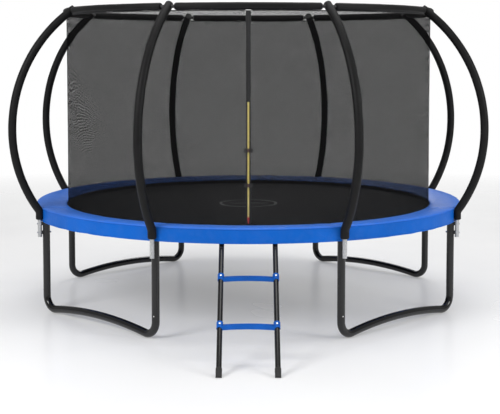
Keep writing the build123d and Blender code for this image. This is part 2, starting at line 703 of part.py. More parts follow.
def across_rail(x, along):
    """Plane across a ladder rail, facing up along it."""
    return Plane(origin=rail_point(x, along), x_dir=(1, 0, 0), z_dir=(0, UP_Y, UP_Z))


def off_rail(x, along, out):
    """Plane that faces a climber, beside a ladder rail."""
    return Plane(origin=rail_point(x, along, out), x_dir=(1, 0, 0), z_dir=(0, -UP_Z, UP_Y))


step_bolt_spots = [(x, along) for x in RAIL_XS.values() for along in STEP_PLACES.values()]
hook_bolt_spots = [(x, along) for x in RAIL_XS.values() for along in HOOK_BOLT_PLACES]

for side, x in RAIL_XS.items():
    with BuildPart() as ladder_rail:
        with BuildSketch(across_rail(x, LADDER_RAIL_START)):
            Circle(LADDER_TUBE_D / 2)
            Circle(LADDER_TUBE_D / 2 - LADDER_WALL, mode=Mode.SUBTRACT)
        extrude(amount=LADDER_RAIL_END - LADDER_RAIL_START)
        with BuildSketch(*[off_rail(x, a, 0) for a in (*STEP_PLACES.values(), *HOOK_BOLT_PLACES)]):
            Circle(BOLT_HOLE_D / 2)
        extrude(amount=LADDER_TUBE_D, both=True, mode=Mode.SUBTRACT)
    save(ladder_rail, f"ladder_rail_{side}")

for place, along in STEP_PLACES.items():
    with BuildPart() as ladder_step:
        _, step_y, step_z = rail_point(0, along)
        step_end = LADDER_HALF_WIDTH - 4
        with BuildLine(Plane(origin=(0, step_y, step_z), x_dir=(1, 0, 0), z_dir=(0, -1, 0))):
            ThreePointArc((-step_end, 0), (0, STEP_CROWN), (step_end, 0))
        tread_tilt = atan2(4 * STEP_CROWN, 2 * step_end)
        tread_plane = Plane(
            origin=(-step_end, step_y, step_z),
            x_dir=(0, 1, 0),
            z_dir=(cos(tread_tilt), 0, sin(tread_tilt)),
        )
        with BuildSketch(tread_plane):
            Rectangle(STEP_DEPTH, STEP_SHEET)
            for edge in (-1, 1):
                with Locations((edge * (STEP_DEPTH - STEP_SHEET) / 2, -STEP_LIP / 2)):
                    Rectangle(STEP_SHEET, STEP_LIP)
        sweep()
        with BuildSketch(*[across_rail(x, along) for x in RAIL_XS.values()]):
            Circle(COLLAR_D / 2)
        extrude(amount=COLLAR_LENGTH / 2, both=True)
        with BuildSketch(*[across_rail(x, along) for x in RAIL_XS.values()]):
            Circle(COLLAR_BORE / 2)
        extrude(amount=COLLAR_LENGTH, both=True, mode=Mode.SUBTRACT)
        with BuildSketch(*[off_rail(x, along, 0) for x in RAIL_XS.values()]):
            Circle(BOLT_HOLE_D / 2)
        extrude(amount=COLLAR_D, both=True, mode=Mode.SUBTRACT)
    save(ladder_step, f"ladder_step_{place}")

HOOK_TUBE_Y = -sqrt(FRAME_R**2 - LADDER_HALF_WIDTH**2)
HOOK_INNER_Y = HOOK_TUBE_Y + HOOK_R
HOOK_OUTER_Y = HOOK_TUBE_Y - HOOK_R
HOOK_OFFSET = LADDER_TUBE_D / 2 + HOOK_THICKNESS / 2 + 0.2
hook_corner_along = (HOOK_INNER_Y - LADDER_FOOT_Y + HOOK_OFFSET * UP_Z) / UP_Y
_, hook_corner_y, hook_corner_z = rail_point(0, hook_corner_along, HOOK_OFFSET)
_, hook_end_y, hook_end_z = rail_point(0, hook_corner_along - HOOK_FOOT, HOOK_OFFSET)
with BuildPart() as ladder_hooks:
    for x in RAIL_XS.values():
        with BuildLine(Plane(origin=(x, 0, 0), x_dir=(0, 1, 0), z_dir=(1, 0, 0))):
            Line((HOOK_OUTER_Y, FRAME_Z - HOOK_TIP), (HOOK_OUTER_Y, FRAME_Z))
            CenterArc((HOOK_TUBE_Y, FRAME_Z), HOOK_R, 180, -180)
            FilletPolyline(
                (HOOK_INNER_Y, FRAME_Z),
                (hook_corner_y, hook_corner_z),
                (hook_end_y, hook_end_z),
                radius=HOOK_BEND_R,
            )
        with BuildSketch(Plane(origin=(x, HOOK_OUTER_Y, FRAME_Z - HOOK_TIP), z_dir=(0, 0, 1))):
            Rectangle(HOOK_WIDTH, HOOK_THICKNESS)
        sweep()
    rivet_foot = -LADDER_TUBE_D / 2 - RIVET_HEAD_HEIGHT
    hook_face = HOOK_OFFSET + HOOK_THICKNESS / 2
    with BuildSketch(*[off_rail(x, along, rivet_foot) for x, along in hook_bolt_spots]):
        Circle(BOLT_HEAD_D / 2)
    extrude(amount=RIVET_HEAD_HEIGHT)
    with BuildSketch(*[off_rail(x, along, rivet_foot) for x, along in hook_bolt_spots]):
        Circle(BOLT_D / 2)
    extrude(amount=hook_face - rivet_foot)
    with BuildSketch(*[off_rail(x, along, hook_face) for x, along in hook_bolt_spots]):
        Circle(BOLT_HEAD_D / 2)
    extrude(amount=RIVET_HEAD_HEIGHT)
save(ladder_hooks, "ladder_hooks")

STEP_BOLT_SEAT = COLLAR_D / 2
STEP_BOLT_TIP = STEP_BOLT_SEAT + NUT_HEIGHT + THREAD_END
with BuildPart() as ladder_bolts:
    with BuildSketch(*[off_rail(x, along, -STEP_BOLT_TIP) for x, along in step_bolt_spots]):
        Circle(BOLT_D / 2)
    extrude(amount=STEP_BOLT_TIP + STEP_BOLT_SEAT)
    with BuildSketch(*[off_rail(x, along, STEP_BOLT_SEAT) for x, along in step_bolt_spots]):
        Circle(BOLT_HEAD_D / 2)
    extrude(amount=BOLT_HEAD_HEIGHT)
    with BuildSketch(*[off_rail(x, a, -STEP_BOLT_SEAT - NUT_HEIGHT) for x, a in step_bolt_spots]):
        RegularPolygon(NUT_D / 2, 6)
        Circle(NUT_BORE / 2, mode=Mode.SUBTRACT)
    extrude(amount=NUT_HEIGHT)
save(ladder_bolts, "ladder_bolts")

with BuildPart() as ladder_feet:
    with BuildSketch(*[across_rail(x, BOOT_TOE) for x in RAIL_XS.values()]):
        Circle(BOOT_D / 2)
    extrude(amount=BOOT_LENGTH)
    with BuildSketch(*[across_rail(x, LADDER_RAIL_START - 0.5) for x in RAIL_XS.values()]):
        Circle(BOOT_BORE / 2)
    extrude(amount=BOOT_LENGTH, mode=Mode.SUBTRACT)
    split(bisect_by=Plane.XY, keep=Keep.TOP)
save(ladder_feet, "ladder_feet")
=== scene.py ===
import json
import math
import random

import bpy
import numpy as np
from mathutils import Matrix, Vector


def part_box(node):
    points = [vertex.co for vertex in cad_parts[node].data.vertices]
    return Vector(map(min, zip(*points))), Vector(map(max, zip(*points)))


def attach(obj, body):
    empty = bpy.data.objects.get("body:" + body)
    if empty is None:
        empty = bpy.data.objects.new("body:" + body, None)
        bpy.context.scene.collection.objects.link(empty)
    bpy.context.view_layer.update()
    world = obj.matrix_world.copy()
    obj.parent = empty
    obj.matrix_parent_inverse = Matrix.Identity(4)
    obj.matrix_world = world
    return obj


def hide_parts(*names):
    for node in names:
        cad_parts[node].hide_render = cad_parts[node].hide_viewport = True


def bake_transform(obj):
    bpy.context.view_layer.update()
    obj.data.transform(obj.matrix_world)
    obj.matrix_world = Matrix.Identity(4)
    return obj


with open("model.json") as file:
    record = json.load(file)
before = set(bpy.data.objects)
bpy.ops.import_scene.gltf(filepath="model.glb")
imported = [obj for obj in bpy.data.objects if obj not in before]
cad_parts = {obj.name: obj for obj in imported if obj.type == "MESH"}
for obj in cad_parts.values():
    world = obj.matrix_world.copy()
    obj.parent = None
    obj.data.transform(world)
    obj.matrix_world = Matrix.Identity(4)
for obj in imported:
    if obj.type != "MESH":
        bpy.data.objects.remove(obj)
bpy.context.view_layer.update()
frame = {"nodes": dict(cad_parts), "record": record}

bl_info = {
    "name": "Garden Trampoline",
    "version": (1, 0, 0),
    "blender": (4, 5, 0),
    "location": "View3D > Sidebar > Trampoline",
    "description": "Dresses a round netted trampoline: net, pad, mat, springs, foam, zip and finishes",
    "category": "Object",
}

# "Bearing" is the angle round the frame from the door, in degrees, positive towards +X.
MM = 0.001
POSTS = {
    "front_right": 22.5,
    "side_front_right": 67.5,
    "side_rear_right": 112.5,
    "rear_right": 157.5,
    "rear_left": 202.5,
    "side_rear_left": 247.5,
    "side_front_left": 292.5,
    "front_left": 337.5,
}
SECTIONS = {
    "front": 0,
    "front_right": 45,
    "right": 90,
    "rear_right": 135,
    "rear": 180,
    "rear_left": 225,
    "left": 270,
    "front_left": 315,
}
POST_PITCH = 45

# Places that the frame gives
NET_LOW, NET_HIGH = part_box("net_front_right")
NET_R = NET_HIGH.x - 0.5 * MM
NET_BOTTOM = NET_LOW.z
MAT_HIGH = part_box("jump_mat")[1]
MAT_R = MAT_HIGH.x
MAT_TOP = MAT_HIGH.z
PAD_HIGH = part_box("spring_pad")[1]
PAD_OUTER_R = PAD_HIGH.x
SKIRT_LOW, SKIRT_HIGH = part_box("pad_skirt")
TAPE_LOW, TAPE_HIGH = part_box("door_tape")
ZIP_LOW, ZIP_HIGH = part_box("zipper")
FOAM_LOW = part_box("pole_foam_front_right")[0].z
HOOP_LOW, HOOP_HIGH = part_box("hoop_foam")
HOOP_FOAM_R = (HOOP_HIGH.z - HOOP_LOW.z) / 2
HOOP_Z = (HOOP_HIGH.z + HOOP_LOW.z) / 2
HOOP_R = HOOP_HIGH.x - HOOP_FOAM_R
NET_TOP = HOOP_Z - HOOP_FOAM_R
BINDING = 8 * MM

# The line of an enclosure pole: upright foot, short bend, lower bow, upper bow
POLE_R = 1864 * MM
BEND_R = 60 * MM
BULGE_R = 2081 * MM
BULGE_Z = 1504 * MM
LOWER_BOW_R = 1143 * MM
UPPER_BOW_R = 1216 * MM
FOAM_R = 33 * MM
FOAM_BORE_R = 17.3 * MM
FOAM_PAST_HOOP = 25 * MM
FOAM_REST_R = 1844 * MM
FOAM_REST_TOP = 872 * MM
HOOP_FOAM_BORE_R = 9.9 * MM
HOOP_FOAM_START = 57 * MM

# Pad section
PAD_INNER_R = 1586 * MM
PAD_SHOULDER_R = 1790 * MM
PAD_INNER_MIDDLE_Z = 838 * MM
PAD_MIDDLE_Z = 856 * MM

# Springs, from the ring on the mat to the slot in the frame rail
SPRINGS = 72
RING_MIDDLE_R = 1629 * MM
SPRING_INNER_R = 1646.5 * MM
SPRING_OUTER_R = 1792.5 * MM
SPRING_OUTER_Z = 832 * MM
SPRING_WIRE_R = 1.6 * MM
SPRING_COIL_R = 9.4 * MM

BUCKLES = {"upper": 1412 * MM, "lower": 1148 * MM}

# Ladder
LADDER_HALF = 196.5 * MM
LADDER_FOOT_Y = -2715 * MM
LADDER_TOP_Y = -1768 * MM
LADDER_TOP_Z = 747 * MM
LADDER_SLOPE = math.atan2(LADDER_TOP_Z, LADDER_TOP_Y - LADDER_FOOT_Y)
STEP_ALONG = {"upper": 867 * MM, "lower": 435 * MM}
STEP_MIDDLE_Y = {k: LADDER_FOOT_Y + a * math.cos(LADDER_SLOPE) for k, a in STEP_ALONG.items()}
STEP_SURFACE_Z = {k: a * math.sin(LADDER_SLOPE) + 1.5 * MM for k, a in STEP_ALONG.items()}


# ---------------------------------------------------------------- shader maths
class Value:
    """A number on a node's socket; arithmetic on it adds Math nodes."""

    def __init__(self, paint, socket):
        self.paint = paint
        self.socket = socket

    def math(self, operation, *others):
        return self.paint.math(operation, self, *others)

    def __add__(self, other):
        return self.math("ADD", other)

    def __radd__(self, other):
        return self.math("ADD", other)

    def __sub__(self, other):
        return self.math("SUBTRACT", other)

    def __rsub__(self, other):
        return self.paint.math("SUBTRACT", other, self)

    def __mul__(self, other):
        return self.math("MULTIPLY", other)

    def __rmul__(self, other):
        return self.math("MULTIPLY", other)

    def __truediv__(self, other):
        return self.math("DIVIDE", other)

    def __rtruediv__(self, other):
        return self.paint.math("DIVIDE", other, self)

    def __pow__(self, other):
        return self.math("POWER", other)

    def __lt__(self, other):
        return self.math("LESS_THAN", other)

    def __gt__(self, other):
        return self.math("GREATER_THAN", other)

    def __abs__(self):
        return self.math("ABSOLUTE")


class Paint:
    """One material and its node tree."""

    def __init__(self, name, **constants):
        self.material = bpy.data.materials.new(name)
        self.material.use_nodes = True
        self.tree = self.material.node_tree
        self.shader = self.tree.nodes["Principled BSDF"]
        for socket, value in constants.items():
            name_on_shader = socket.replace("_", " ").title().replace("Ior", "IOR")
            self.shader.inputs[name_on_shader].default_value = value

    def node(self, kind, settings=None, sockets=None, output=0):
        """Adds a node: its settings first, then the values or links of its sockets."""
        made = self.tree.nodes.new(kind)
        for setting, value in (settings or {}).items():
            if setting == "stops":
                for _ in range(len(value) - 2):
                    made.color_ramp.elements.new(0.5)
                for element, (place, colour) in zip(made.color_ramp.elements, value):
                    element.position = place
                    element.color = colour
            else:
                setattr(made, setting, value)
        for socket, value in (sockets or {}).items():
            if isinstance(value, Value):
                self.tree.links.new(value.socket, made.inputs[socket])
            else:
                made.inputs[socket].default_value = value
        return Value(self, made.outputs[output])

    def math(self, operation, *numbers):
        return self.node("ShaderNodeMath", {"operation": operation}, dict(enumerate(numbers)))

    def vector(self, operation, *vectors):
        return self.node("ShaderNodeVectorMath", {"operation": operation}, dict(enumerate(vectors)))

    def place(self):
        """Position in the frame, in metres."""
        return self.node("ShaderNodeTexCoord", output="Object")

    def cloth(self):
        """Position on the cloth, in metres."""
        return self.node("ShaderNodeUVMap", {"uv_map": "UVMap"})

    def parts(self, vector):
        split = self.node("ShaderNodeSeparateXYZ", sockets={0: vector})
        outputs = split.socket.node.outputs
        return [Value(self, outputs[axis]) for axis in range(3)]

    def noise(self, vector, scale, detail=2.0, roughness=0.5, distortion=0.0):
        sockets = {
            "Vector": vector,
            "Scale": scale,
            "Detail": detail,
            "Roughness": roughness,
            "Distortion": distortion,
        }
        return self.node("ShaderNodeTexNoise", sockets=sockets)

    def cells(self, vector, scale, feature="F1", output="Distance"):
        inputs = {"Vector": vector, "Scale": scale}
        return self.node("ShaderNodeTexVoronoi", {"feature": feature}, inputs, output)

    def spread(self, value, low, high, to_low=0.0, to_high=1.0):
        """Maps low..high onto to_low..to_high, held at the ends."""
        sockets = {0: value, 1: low, 2: high, 3: to_low, 4: to_high}
        return self.node("ShaderNodeMapRange", {"clamp": True}, sockets)

    def mix(self, factor, one, two, blend="MIX"):
        """Mixes two colours."""
        settings = {"data_type": "RGBA", "blend_type": blend, "clamp_factor": True}
        return self.node("ShaderNodeMix", settings, {0: factor, 6: one, 7: two}, 2)

    def feed(self, **links):
        """Links values that vary over the surface to the shader."""
        for socket, value in links.items():
            self.tree.links.new(value.socket, self.shader.inputs[socket.replace("_", " ").title()])

    def bump(self, *layers):
        """Bump layers of (height, distance in metres), laid one on another."""
        normal = None
        for height, distance in layers:
            sockets = {"Height": height, "Distance": distance, "Strength": 1.0}
            if normal:
                sockets["Normal"] = normal
            normal = self.node("ShaderNodeBump", sockets=sockets)
        self.feed(normal=normal)


def rgba(colour, shade=1.0):
    return (colour[0] * shade, colour[1] * shade, colour[2] * shade, 1.0)


def powder_coat(name, colour, roughness, shine=0.5):
    """Baked powder coat: fine orange peel, faint dust and a few dull scuffs."""
    paint = Paint(name, specular_ior_level=shine)
    place = paint.place()
    dust = paint.noise(place, 5.0, 5.0, 0.6)
    scuffs = paint.spread(paint.noise(place, 46.0, 8.0, 0.75), 0.62, 0.74)
    tint = paint.mix(paint.spread(dust, 0.35, 0.7), rgba(colour, 0.9), rgba(colour, 1.25))
    paint.feed(
        base_color=paint.mix(scuffs * 0.3, tint, rgba([c * 0.7 + 0.02 for c in colour])),
        roughness=paint.spread(dust, 0.3, 0.75, roughness - 0.06, roughness + 0.08) + scuffs * 0.14,
    )
    paint.bump((paint.noise(place, 520.0, 2.0), 0.00012), (paint.noise(place, 120.0, 3.0), 0.0002))
    return paint.material


def galvanised(name, colour):
    """Zinc-dipped tube: spangle in patches a few millimetres across, and dull streaks."""
    paint = Paint(name, metallic=0.85)
    place = paint.place()
    spangle = paint.cells(place, 210.0, output="Color")
    shade = paint.parts(spangle)[0]
    streaks = paint.noise(place, 22.0, 6.0, 0.65)
    tint = paint.mix(shade, rgba(colour, 0.82), rgba(colour, 1.12))
    paint.feed(
        base_color=paint.mix(paint.spread(streaks, 0.4, 0.75) * 0.35, tint, rgba(colour, 0.62)),
        roughness=paint.spread(shade, 0.0, 1.0, 0.32, 0.46) + paint.spread(streaks, 0.35, 0.75, 0.0, 0.12),
    )
    paint.bump((paint.noise(place, 700.0, 2.0), 0.00006), (streaks, 0.0003))
    return paint.material


def zinc_plate(name, colour, yellow=0.0):
    """Bright plated fasteners and wire: drawn marks and a faint straw tint."""
    paint = Paint(name, metallic=1.0)
    place = paint.place()
    patches = paint.noise(place, 90.0, 4.0, 0.6)
    straw = rgba((colour[0], colour[1] * (1 - yellow * 0.2), colour[2] * (1 - yellow)))
    paint.feed(
        base_color=paint.mix(paint.spread(patches, 0.35, 0.7), rgba(colour), straw),
        roughness=paint.spread(patches, 0.3, 0.75, 0.2, 0.4),
    )
    paint.bump((paint.noise(place, 1500.0, 2.0), 0.00003))
    return paint.material


def foam_skin(name, colour):
    """Vinyl skin over closed-cell foam: tight pebble grain, soft dents and dusty patches."""
    paint = Paint(name, specular_ior_level=0.14, sheen_weight=0.01, sheen_roughness=0.5)
    place = paint.place()
    patches = paint.noise(place, 9.0, 5.0, 0.6)
    grain = paint.cells(place, 750.0)
    dents = paint.noise(place, 34.0, 3.0, 0.5)
    paint.feed(
        base_color=paint.mix(paint.spread(patches, 0.35, 0.7), rgba(colour, 0.85), rgba(colour, 1.3)),
        roughness=paint.spread(patches, 0.3, 0.7, 0.4, 0.54) + grain * 0.06,
    )
    paint.bump((dents, 0.0012), (grain, 0.00018))
    return paint.material


def moulded(name, colour, roughness, grain_scale=1400.0):
    """Moulded plastic or rubber with a fine spark grain."""
    paint = Paint(name, specular_ior_level=0.45)
    place = paint.place()
    grain = paint.noise(place, grain_scale, 3.0, 0.7)
    patches = paint.noise(place, 40.0, 4.0, 0.6)
    paint.feed(
        base_color=paint.mix(paint.spread(patches, 0.35, 0.7), rgba(colour, 0.9), rgba(colour, 1.2)),
        roughness=paint.spread(patches, 0.3, 0.7, roughness - 0.05, roughness + 0.08),
    )
    paint.bump((grain, 0.0001))
    return paint.material


def weave(paint, u, v, pitch):
    """Height of a plain weave, 0 to 1: warp and weft go over and under by turns."""
    turn = math.pi / pitch
    across = abs((u * turn).math("SINE"))
    along = abs((v * turn).math("SINE"))
    check = (u * turn).math("COSINE") * (v * turn).math("COSINE")
    over = paint.spread(check, -0.3, 0.3)
    return across * over + along * (1 - over)


def woven(name, colour, pitch, roughness, ribs=0.0):
    """Woven band: a plain weave at its real pitch, with long ribs if it is webbing."""
    paint = Paint(name, sheen_weight=0.12, sheen_roughness=0.45, specular_ior_level=0.35)
    u, v, _ = paint.parts(paint.cloth())
    cloth = weave(paint, u, v, pitch)
    patches = paint.noise(paint.place(), 14.0, 4.0, 0.6)
    shade = paint.spread(cloth * 0.6 + patches * 0.4, 0.2, 0.8)
    paint.feed(
        base_color=paint.mix(shade, rgba(colour, 0.6), rgba(colour, 1.3)),
        roughness=paint.spread(patches, 0.3, 0.7, roughness - 0.05, roughness + 0.06),
    )
    layers = [(cloth, 0.0004)]
    if ribs:
        layers.append((abs((v * (math.pi / ribs)).math("SINE")), 0.0005))
    paint.bump(*layers)
    return paint.material


def pad_vinyl(name, colour, roughness, sheen_and_bloom):
    """Coated cloth of the pad: leather-like grain, soft creases and a pale tint on the crease crests that is
    partly chalky whitening and partly painted sheen, laid heavier on the top.
    """
    paint = Paint(name, specular_ior_level=0.12, coat_weight=0.02, coat_roughness=0.35)
    place = paint.place()
    broad = paint.noise(place, 3.2, 4.0, 0.55)
    creases = paint.noise(place, 16.0, 5.0, 0.55, 0.8)
    grain = paint.cells(place, 620.0)
    tint = paint.mix(paint.spread(broad, 0.3, 0.72), rgba(colour, 0.93), rgba(colour, 1.07))
    # Whitish tint on the raised crease crests: partly chalky whitening of the vinyl, partly a painted sheen
    # of the light from above.
    sheen_and_bloom_colour = rgba([c * 0.8 + 0.09 for c in colour])
    paint.feed(
        base_color=paint.mix(paint.spread(creases, 0.45, 0.75) * sheen_and_bloom, tint, sheen_and_bloom_colour),
        roughness=paint.spread(creases, 0.35, 0.7, roughness - 0.04, roughness + 0.07),
    )
    paint.bump((paint.spread(creases, 0.4, 0.68), 0.0011), (grain, 0.0001))
    return paint.material


def net_mesh(name, colour, pitch, thread):
    """Fine knitted net: slanted threads with open diamonds between them."""
    paint = Paint(name, roughness=0.85, specular_ior_level=0.0)
    u, v, _ = paint.parts(paint.cloth())
    one = ((u + v) / pitch).math("FRACT")
    other = ((u - v) / pitch).math("FRACT")
    strands = (one < thread).math("MAXIMUM", other < thread)
    broad = paint.noise(paint.place(), 2.2, 3.0, 0.5)
    paint.feed(
        base_color=paint.mix(paint.spread(broad, 0.3, 0.7), rgba(colour, 0.85), rgba(colour, 1.15)),
        alpha=strands,
    )
    return paint.material


def mat_cloth(name, colour, mark, size):
    """Tightly woven jumping cloth, with a plain pale ring and cross at the middle."""
    paint = Paint(name, sheen_weight=0.02, specular_ior_level=0.1)
    place = paint.place()
    x, y, _ = paint.parts(place)
    cloth = weave(paint, x, y, 0.0021)
    away = (x * x + y * y).math("SQRT")
    ring = abs(away - (size - 0.014)) < 0.012
    arms = ((abs(x) < 0.011).math("MAXIMUM", abs(y) < 0.011)) * (away < size * 0.62)
    worn = paint.spread(paint.noise(place, 60.0, 5.0, 0.7), 0.3, 0.6)
    print_mask = ring.math("MAXIMUM", arms) * (0.6 + worn * 0.35)
    trodden = paint.spread(away, 0.2, 1.4) * 0.5 + paint.noise(place, 2.6, 5.0, 0.6) * 0.5
    ground = paint.mix(paint.spread(trodden, 0.2, 0.8), rgba(colour, 1.35), rgba(colour, 0.9))
    threads = paint.mix(cloth, rgba((0.55, 0.55, 0.55)), rgba((1.15, 1.15, 1.15)))
    shaded = paint.mix(1.0, ground, threads, "MULTIPLY")
    paint.feed(
        base_color=paint.mix(print_mask, shaded, rgba(mark)),
        roughness=paint.spread(cloth + trodden * 0.3, 0.0, 1.3, 0.6, 0.5),
    )
    paint.bump((cloth, 0.0004), (paint.noise(place, 7.0, 3.0), 0.003))
    return paint.material


# ---------------------------------------------------------------- meshes
def spot(bearing, radius, z):
    turn = math.radians(bearing)
    return Vector((radius * math.sin(turn), -radius * math.cos(turn), z))


def out_and_round(bearing):
    """Unit vectors outwards and along the ring at a bearing."""
    turn = math.radians(bearing)
    out = np.array((math.sin(turn), -math.cos(turn), 0.0))
    return out, np.array((math.cos(turn), math.sin(turn), 0.0))


def settings():
    return bpy.context.scene.trampoline


def piece(name, verts, faces, material, body, uv=None, smooth=True):
    """A mesh object that rides on a body and takes a finish; body None leaves it free."""
    mesh = bpy.data.meshes.new(name)
    mesh.from_pydata([tuple(v) for v in verts], [], [tuple(f) for f in faces])
    mesh.validate()
    if uv is not None:
        layer = mesh.uv_layers.new(name="UVMap")
        corners = np.zeros(len(mesh.loops), dtype=np.int32)
        mesh.loops.foreach_get("vertex_index", corners)
        layer.data.foreach_set("uv", np.asarray(uv, dtype=np.float32)[corners].ravel())
    mesh.polygons.foreach_set("use_smooth", [smooth] * len(mesh.polygons))
    mesh.materials.append(material)
    made = bpy.data.objects.new(name, mesh)
    bpy.context.scene.collection.objects.link(made)
    if body:
        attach(made, body)
    return made


class Build:
    """Gathers vertices, faces and cloth positions of one mesh."""

    def __init__(self):
        self.verts = []
        self.faces = []
        self.uv = []
        self.count = 0

    def grid(self, points, uv=None, close_u=False, close_v=False, flip=False):
        """Adds a grid of points, shaped rows x columns x 3."""
        rows, columns = points.shape[:2]
        start = self.count
        self.verts.append(np.array(points.reshape(-1, 3), dtype=float))
        if uv is None:
            uv = np.zeros((rows, columns, 2))
        self.uv.append(uv.reshape(-1, 2))
        self.count += rows * columns
        last_row = rows if close_u else rows - 1
        last_column = columns if close_v else columns - 1
        i, j = np.meshgrid(np.arange(last_row), np.arange(last_column), indexing="ij")
        i, j = i.ravel(), j.ravel()
        i2, j2 = (i + 1) % rows, (j + 1) % columns
        quads = np.stack((i * columns + j, i2 * columns + j, i2 * columns + j2, i * columns + j2), 1)
        if flip:
            quads = quads[:, ::-1]
        self.faces.extend((quads + start).tolist())
        return start

    def face(self, indices):
        self.faces.append(list(indices))

    def solid(self, corners, faces):
        """Adds a small closed shape."""
        start = self.count
        self.verts.append(np.asarray(corners, dtype=float))
        self.uv.append(np.zeros((len(corners), 2)))
        self.count += len(corners)
        self.faces.extend([[start + k for k in f] for f in faces])

    def make(self, name, material, body, slot, smooth=True):
        verts = np.concatenate(self.verts)
        uv = np.concatenate(self.uv)
        return piece(name, verts, self.faces, material, body, uv, smooth)


BOX_FACES = ((0, 3, 2, 1), (4, 5, 6, 7), (0, 1, 5, 4), (1, 2, 6, 5), (2, 3, 7, 6), (3, 0, 4, 7))


def brick(build, middle, along, across, up, length, width, height, taper=0.8):
    """A small block whose top is narrower than its foot, such as a stitch or a zip tooth."""
    middle, along, across, up = (np.asarray(v, dtype=float) for v in (middle, along, across, up))
    corners = []
    for level, share in ((0.0, 1.0), (1.0, taper)):
        for a, b in ((-1, -1), (1, -1), (1, 1), (-1, 1)):
            foot = middle + up * height * level
            corners.append(foot + along * a * length / 2 * share + across * b * width / 2 * share)
    build.solid(corners, BOX_FACES)


def ripple(seed, count, longest, shortest):
    """A smooth, repeatable unevenness over two lengths: returns a function giving -1 to 1."""
    draw = random.Random(seed)
    waves = []
    for k in range(count):
        size = longest * (shortest / longest) ** (k / max(1, count - 1))
        heading = draw.uniform(0, 2 * math.pi)
        reach = 2 * math.pi / size
        phase = draw.uniform(0, 6.28)
        waves.append((reach * math.cos(heading), reach * math.sin(heading), phase, (size / longest) ** 0.6))
    total = sum(w[3] for w in waves)

    def height(u, v):
        return sum(a * np.sin(p * u + q * v + c) for p, q, c, a in waves) / total

    return height


def sweep(build, line, normals, binormals, section, uv_along=None):
    """Sweeps a section, rows x columns x 2 (normal, binormal), along points; columns close up."""
    sideways = section[..., :1] * normals[:, None, :]
    upwards = section[..., 1:] * binormals[:, None, :]
    points = line[:, None, :] + sideways + upwards
    columns = section.shape[1]
    if uv_along is None:
        uv_along = np.concatenate(([0.0], np.cumsum(np.linalg.norm(np.diff(line, axis=0), axis=1))))
    round_about = np.linspace(0, 1, columns, endpoint=False) * 2 * math.pi * np.abs(section).max()
    uv = np.stack(np.broadcast_arrays(uv_along[:, None], round_about[None, :]), -1)
    return build.grid(points, uv, close_v=True)


def strap(build, line, side, width, thickness):
    """A flat strap along a line of points; side is its width's direction."""
    line = np.asarray(line, dtype=float)
    side = np.asarray(side, dtype=float)
    tangent = np.gradient(line, axis=0)
    tangent /= np.linalg.norm(tangent, axis=1)[:, None]
    face = np.cross(tangent, np.broadcast_to(side, tangent.shape))
    across = np.array((-1.0, -0.92, 0.92, 1.0, 0.92, -0.92)) * width / 2
    through = np.array((0.0, 0.5, 0.5, 0.0, -0.5, -0.5)) * thickness
    points = line[:, None, :] + across[None, :, None] * side + through[None, :, None] * face[:, None, :]
    travel = np.concatenate(([0.0], np.cumsum(np.linalg.norm(np.diff(line, axis=0), axis=1))))
    uv = np.stack(np.broadcast_arrays(travel[:, None], across[None, :]), -1)
    start = build.grid(points, uv, close_v=True)
    rows = len(line)
    build.face([start + k for k in range(6)])
    build.face([start + (rows - 1) * 6 + k for k in reversed(range(6))])


def stitch_row(build, points, normal, length, width, height):
    """Stitches along points; normal is the way they stand up."""
    points = np.asarray(points, dtype=float)
    for one, two in zip(points[:-1], points[1:]):
        along = two - one
        along /= np.linalg.norm(along)
        brick(build, (one + two) / 2, along, np.cross(normal, along), normal, length, width, height, 0.6)


def plate(name, outlines, thickness, bevel):
    """A flat moulded plate with rounded edges from outlines in its own plane; returns verts and faces."""
    curve = bpy.data.curves.new(name, "CURVE")
    curve.dimensions = "2D"
    curve.fill_mode = "BOTH"
    curve.extrude = thickness / 2 - bevel
    curve.bevel_depth = bevel
    curve.bevel_resolution = 2
    for outline in outlines:
        spline = curve.splines.new("POLY")
        spline.points.add(len(outline) - 1)
        for point, (x, y) in zip(spline.points, outline):
            point.co = (x, y, 0, 1)
        spline.use_cyclic_u = True
    holder = bpy.data.objects.new(name, curve)
    mesh = bpy.data.meshes.new_from_object(holder)
    verts = [tuple(v.co) for v in mesh.vertices]
    faces = [tuple(f.vertices) for f in mesh.polygons]
    bpy.data.objects.remove(holder)
    bpy.data.curves.remove(curve)
    bpy.data.meshes.remove(mesh)
    return verts, faces


def rounded(x0, x1, y0, y1, radius, steps=4):
    """Outline of a rectangle with round corners."""
    corners = []
    for cx, cy, start in (
        (x1 - radius, y0 + radius, -90),
        (x1 - radius, y1 - radius, 0),
        (x0 + radius, y1 - radius, 90),
        (x0 + radius, y0 + radius, 180),
    ):
        for k in range(steps + 1):
            turn = math.radians(start + 90 * k / steps)
            corners.append((cx + radius * math.cos(turn), cy + radius * math.sin(turn)))
    return corners


# ---------------------------------------------------------------- sizes and colours
def colour_property(name, description, default):
    return bpy.props.FloatVectorProperty(
        name=name, description=description, default=default, subtype="COLOR", min=0.0, max=1.0
    )


def length_property(name, description, default):
    return bpy.props.FloatProperty(
        name=name, description=description, default=default, min=0.0, unit="LENGTH"
    )


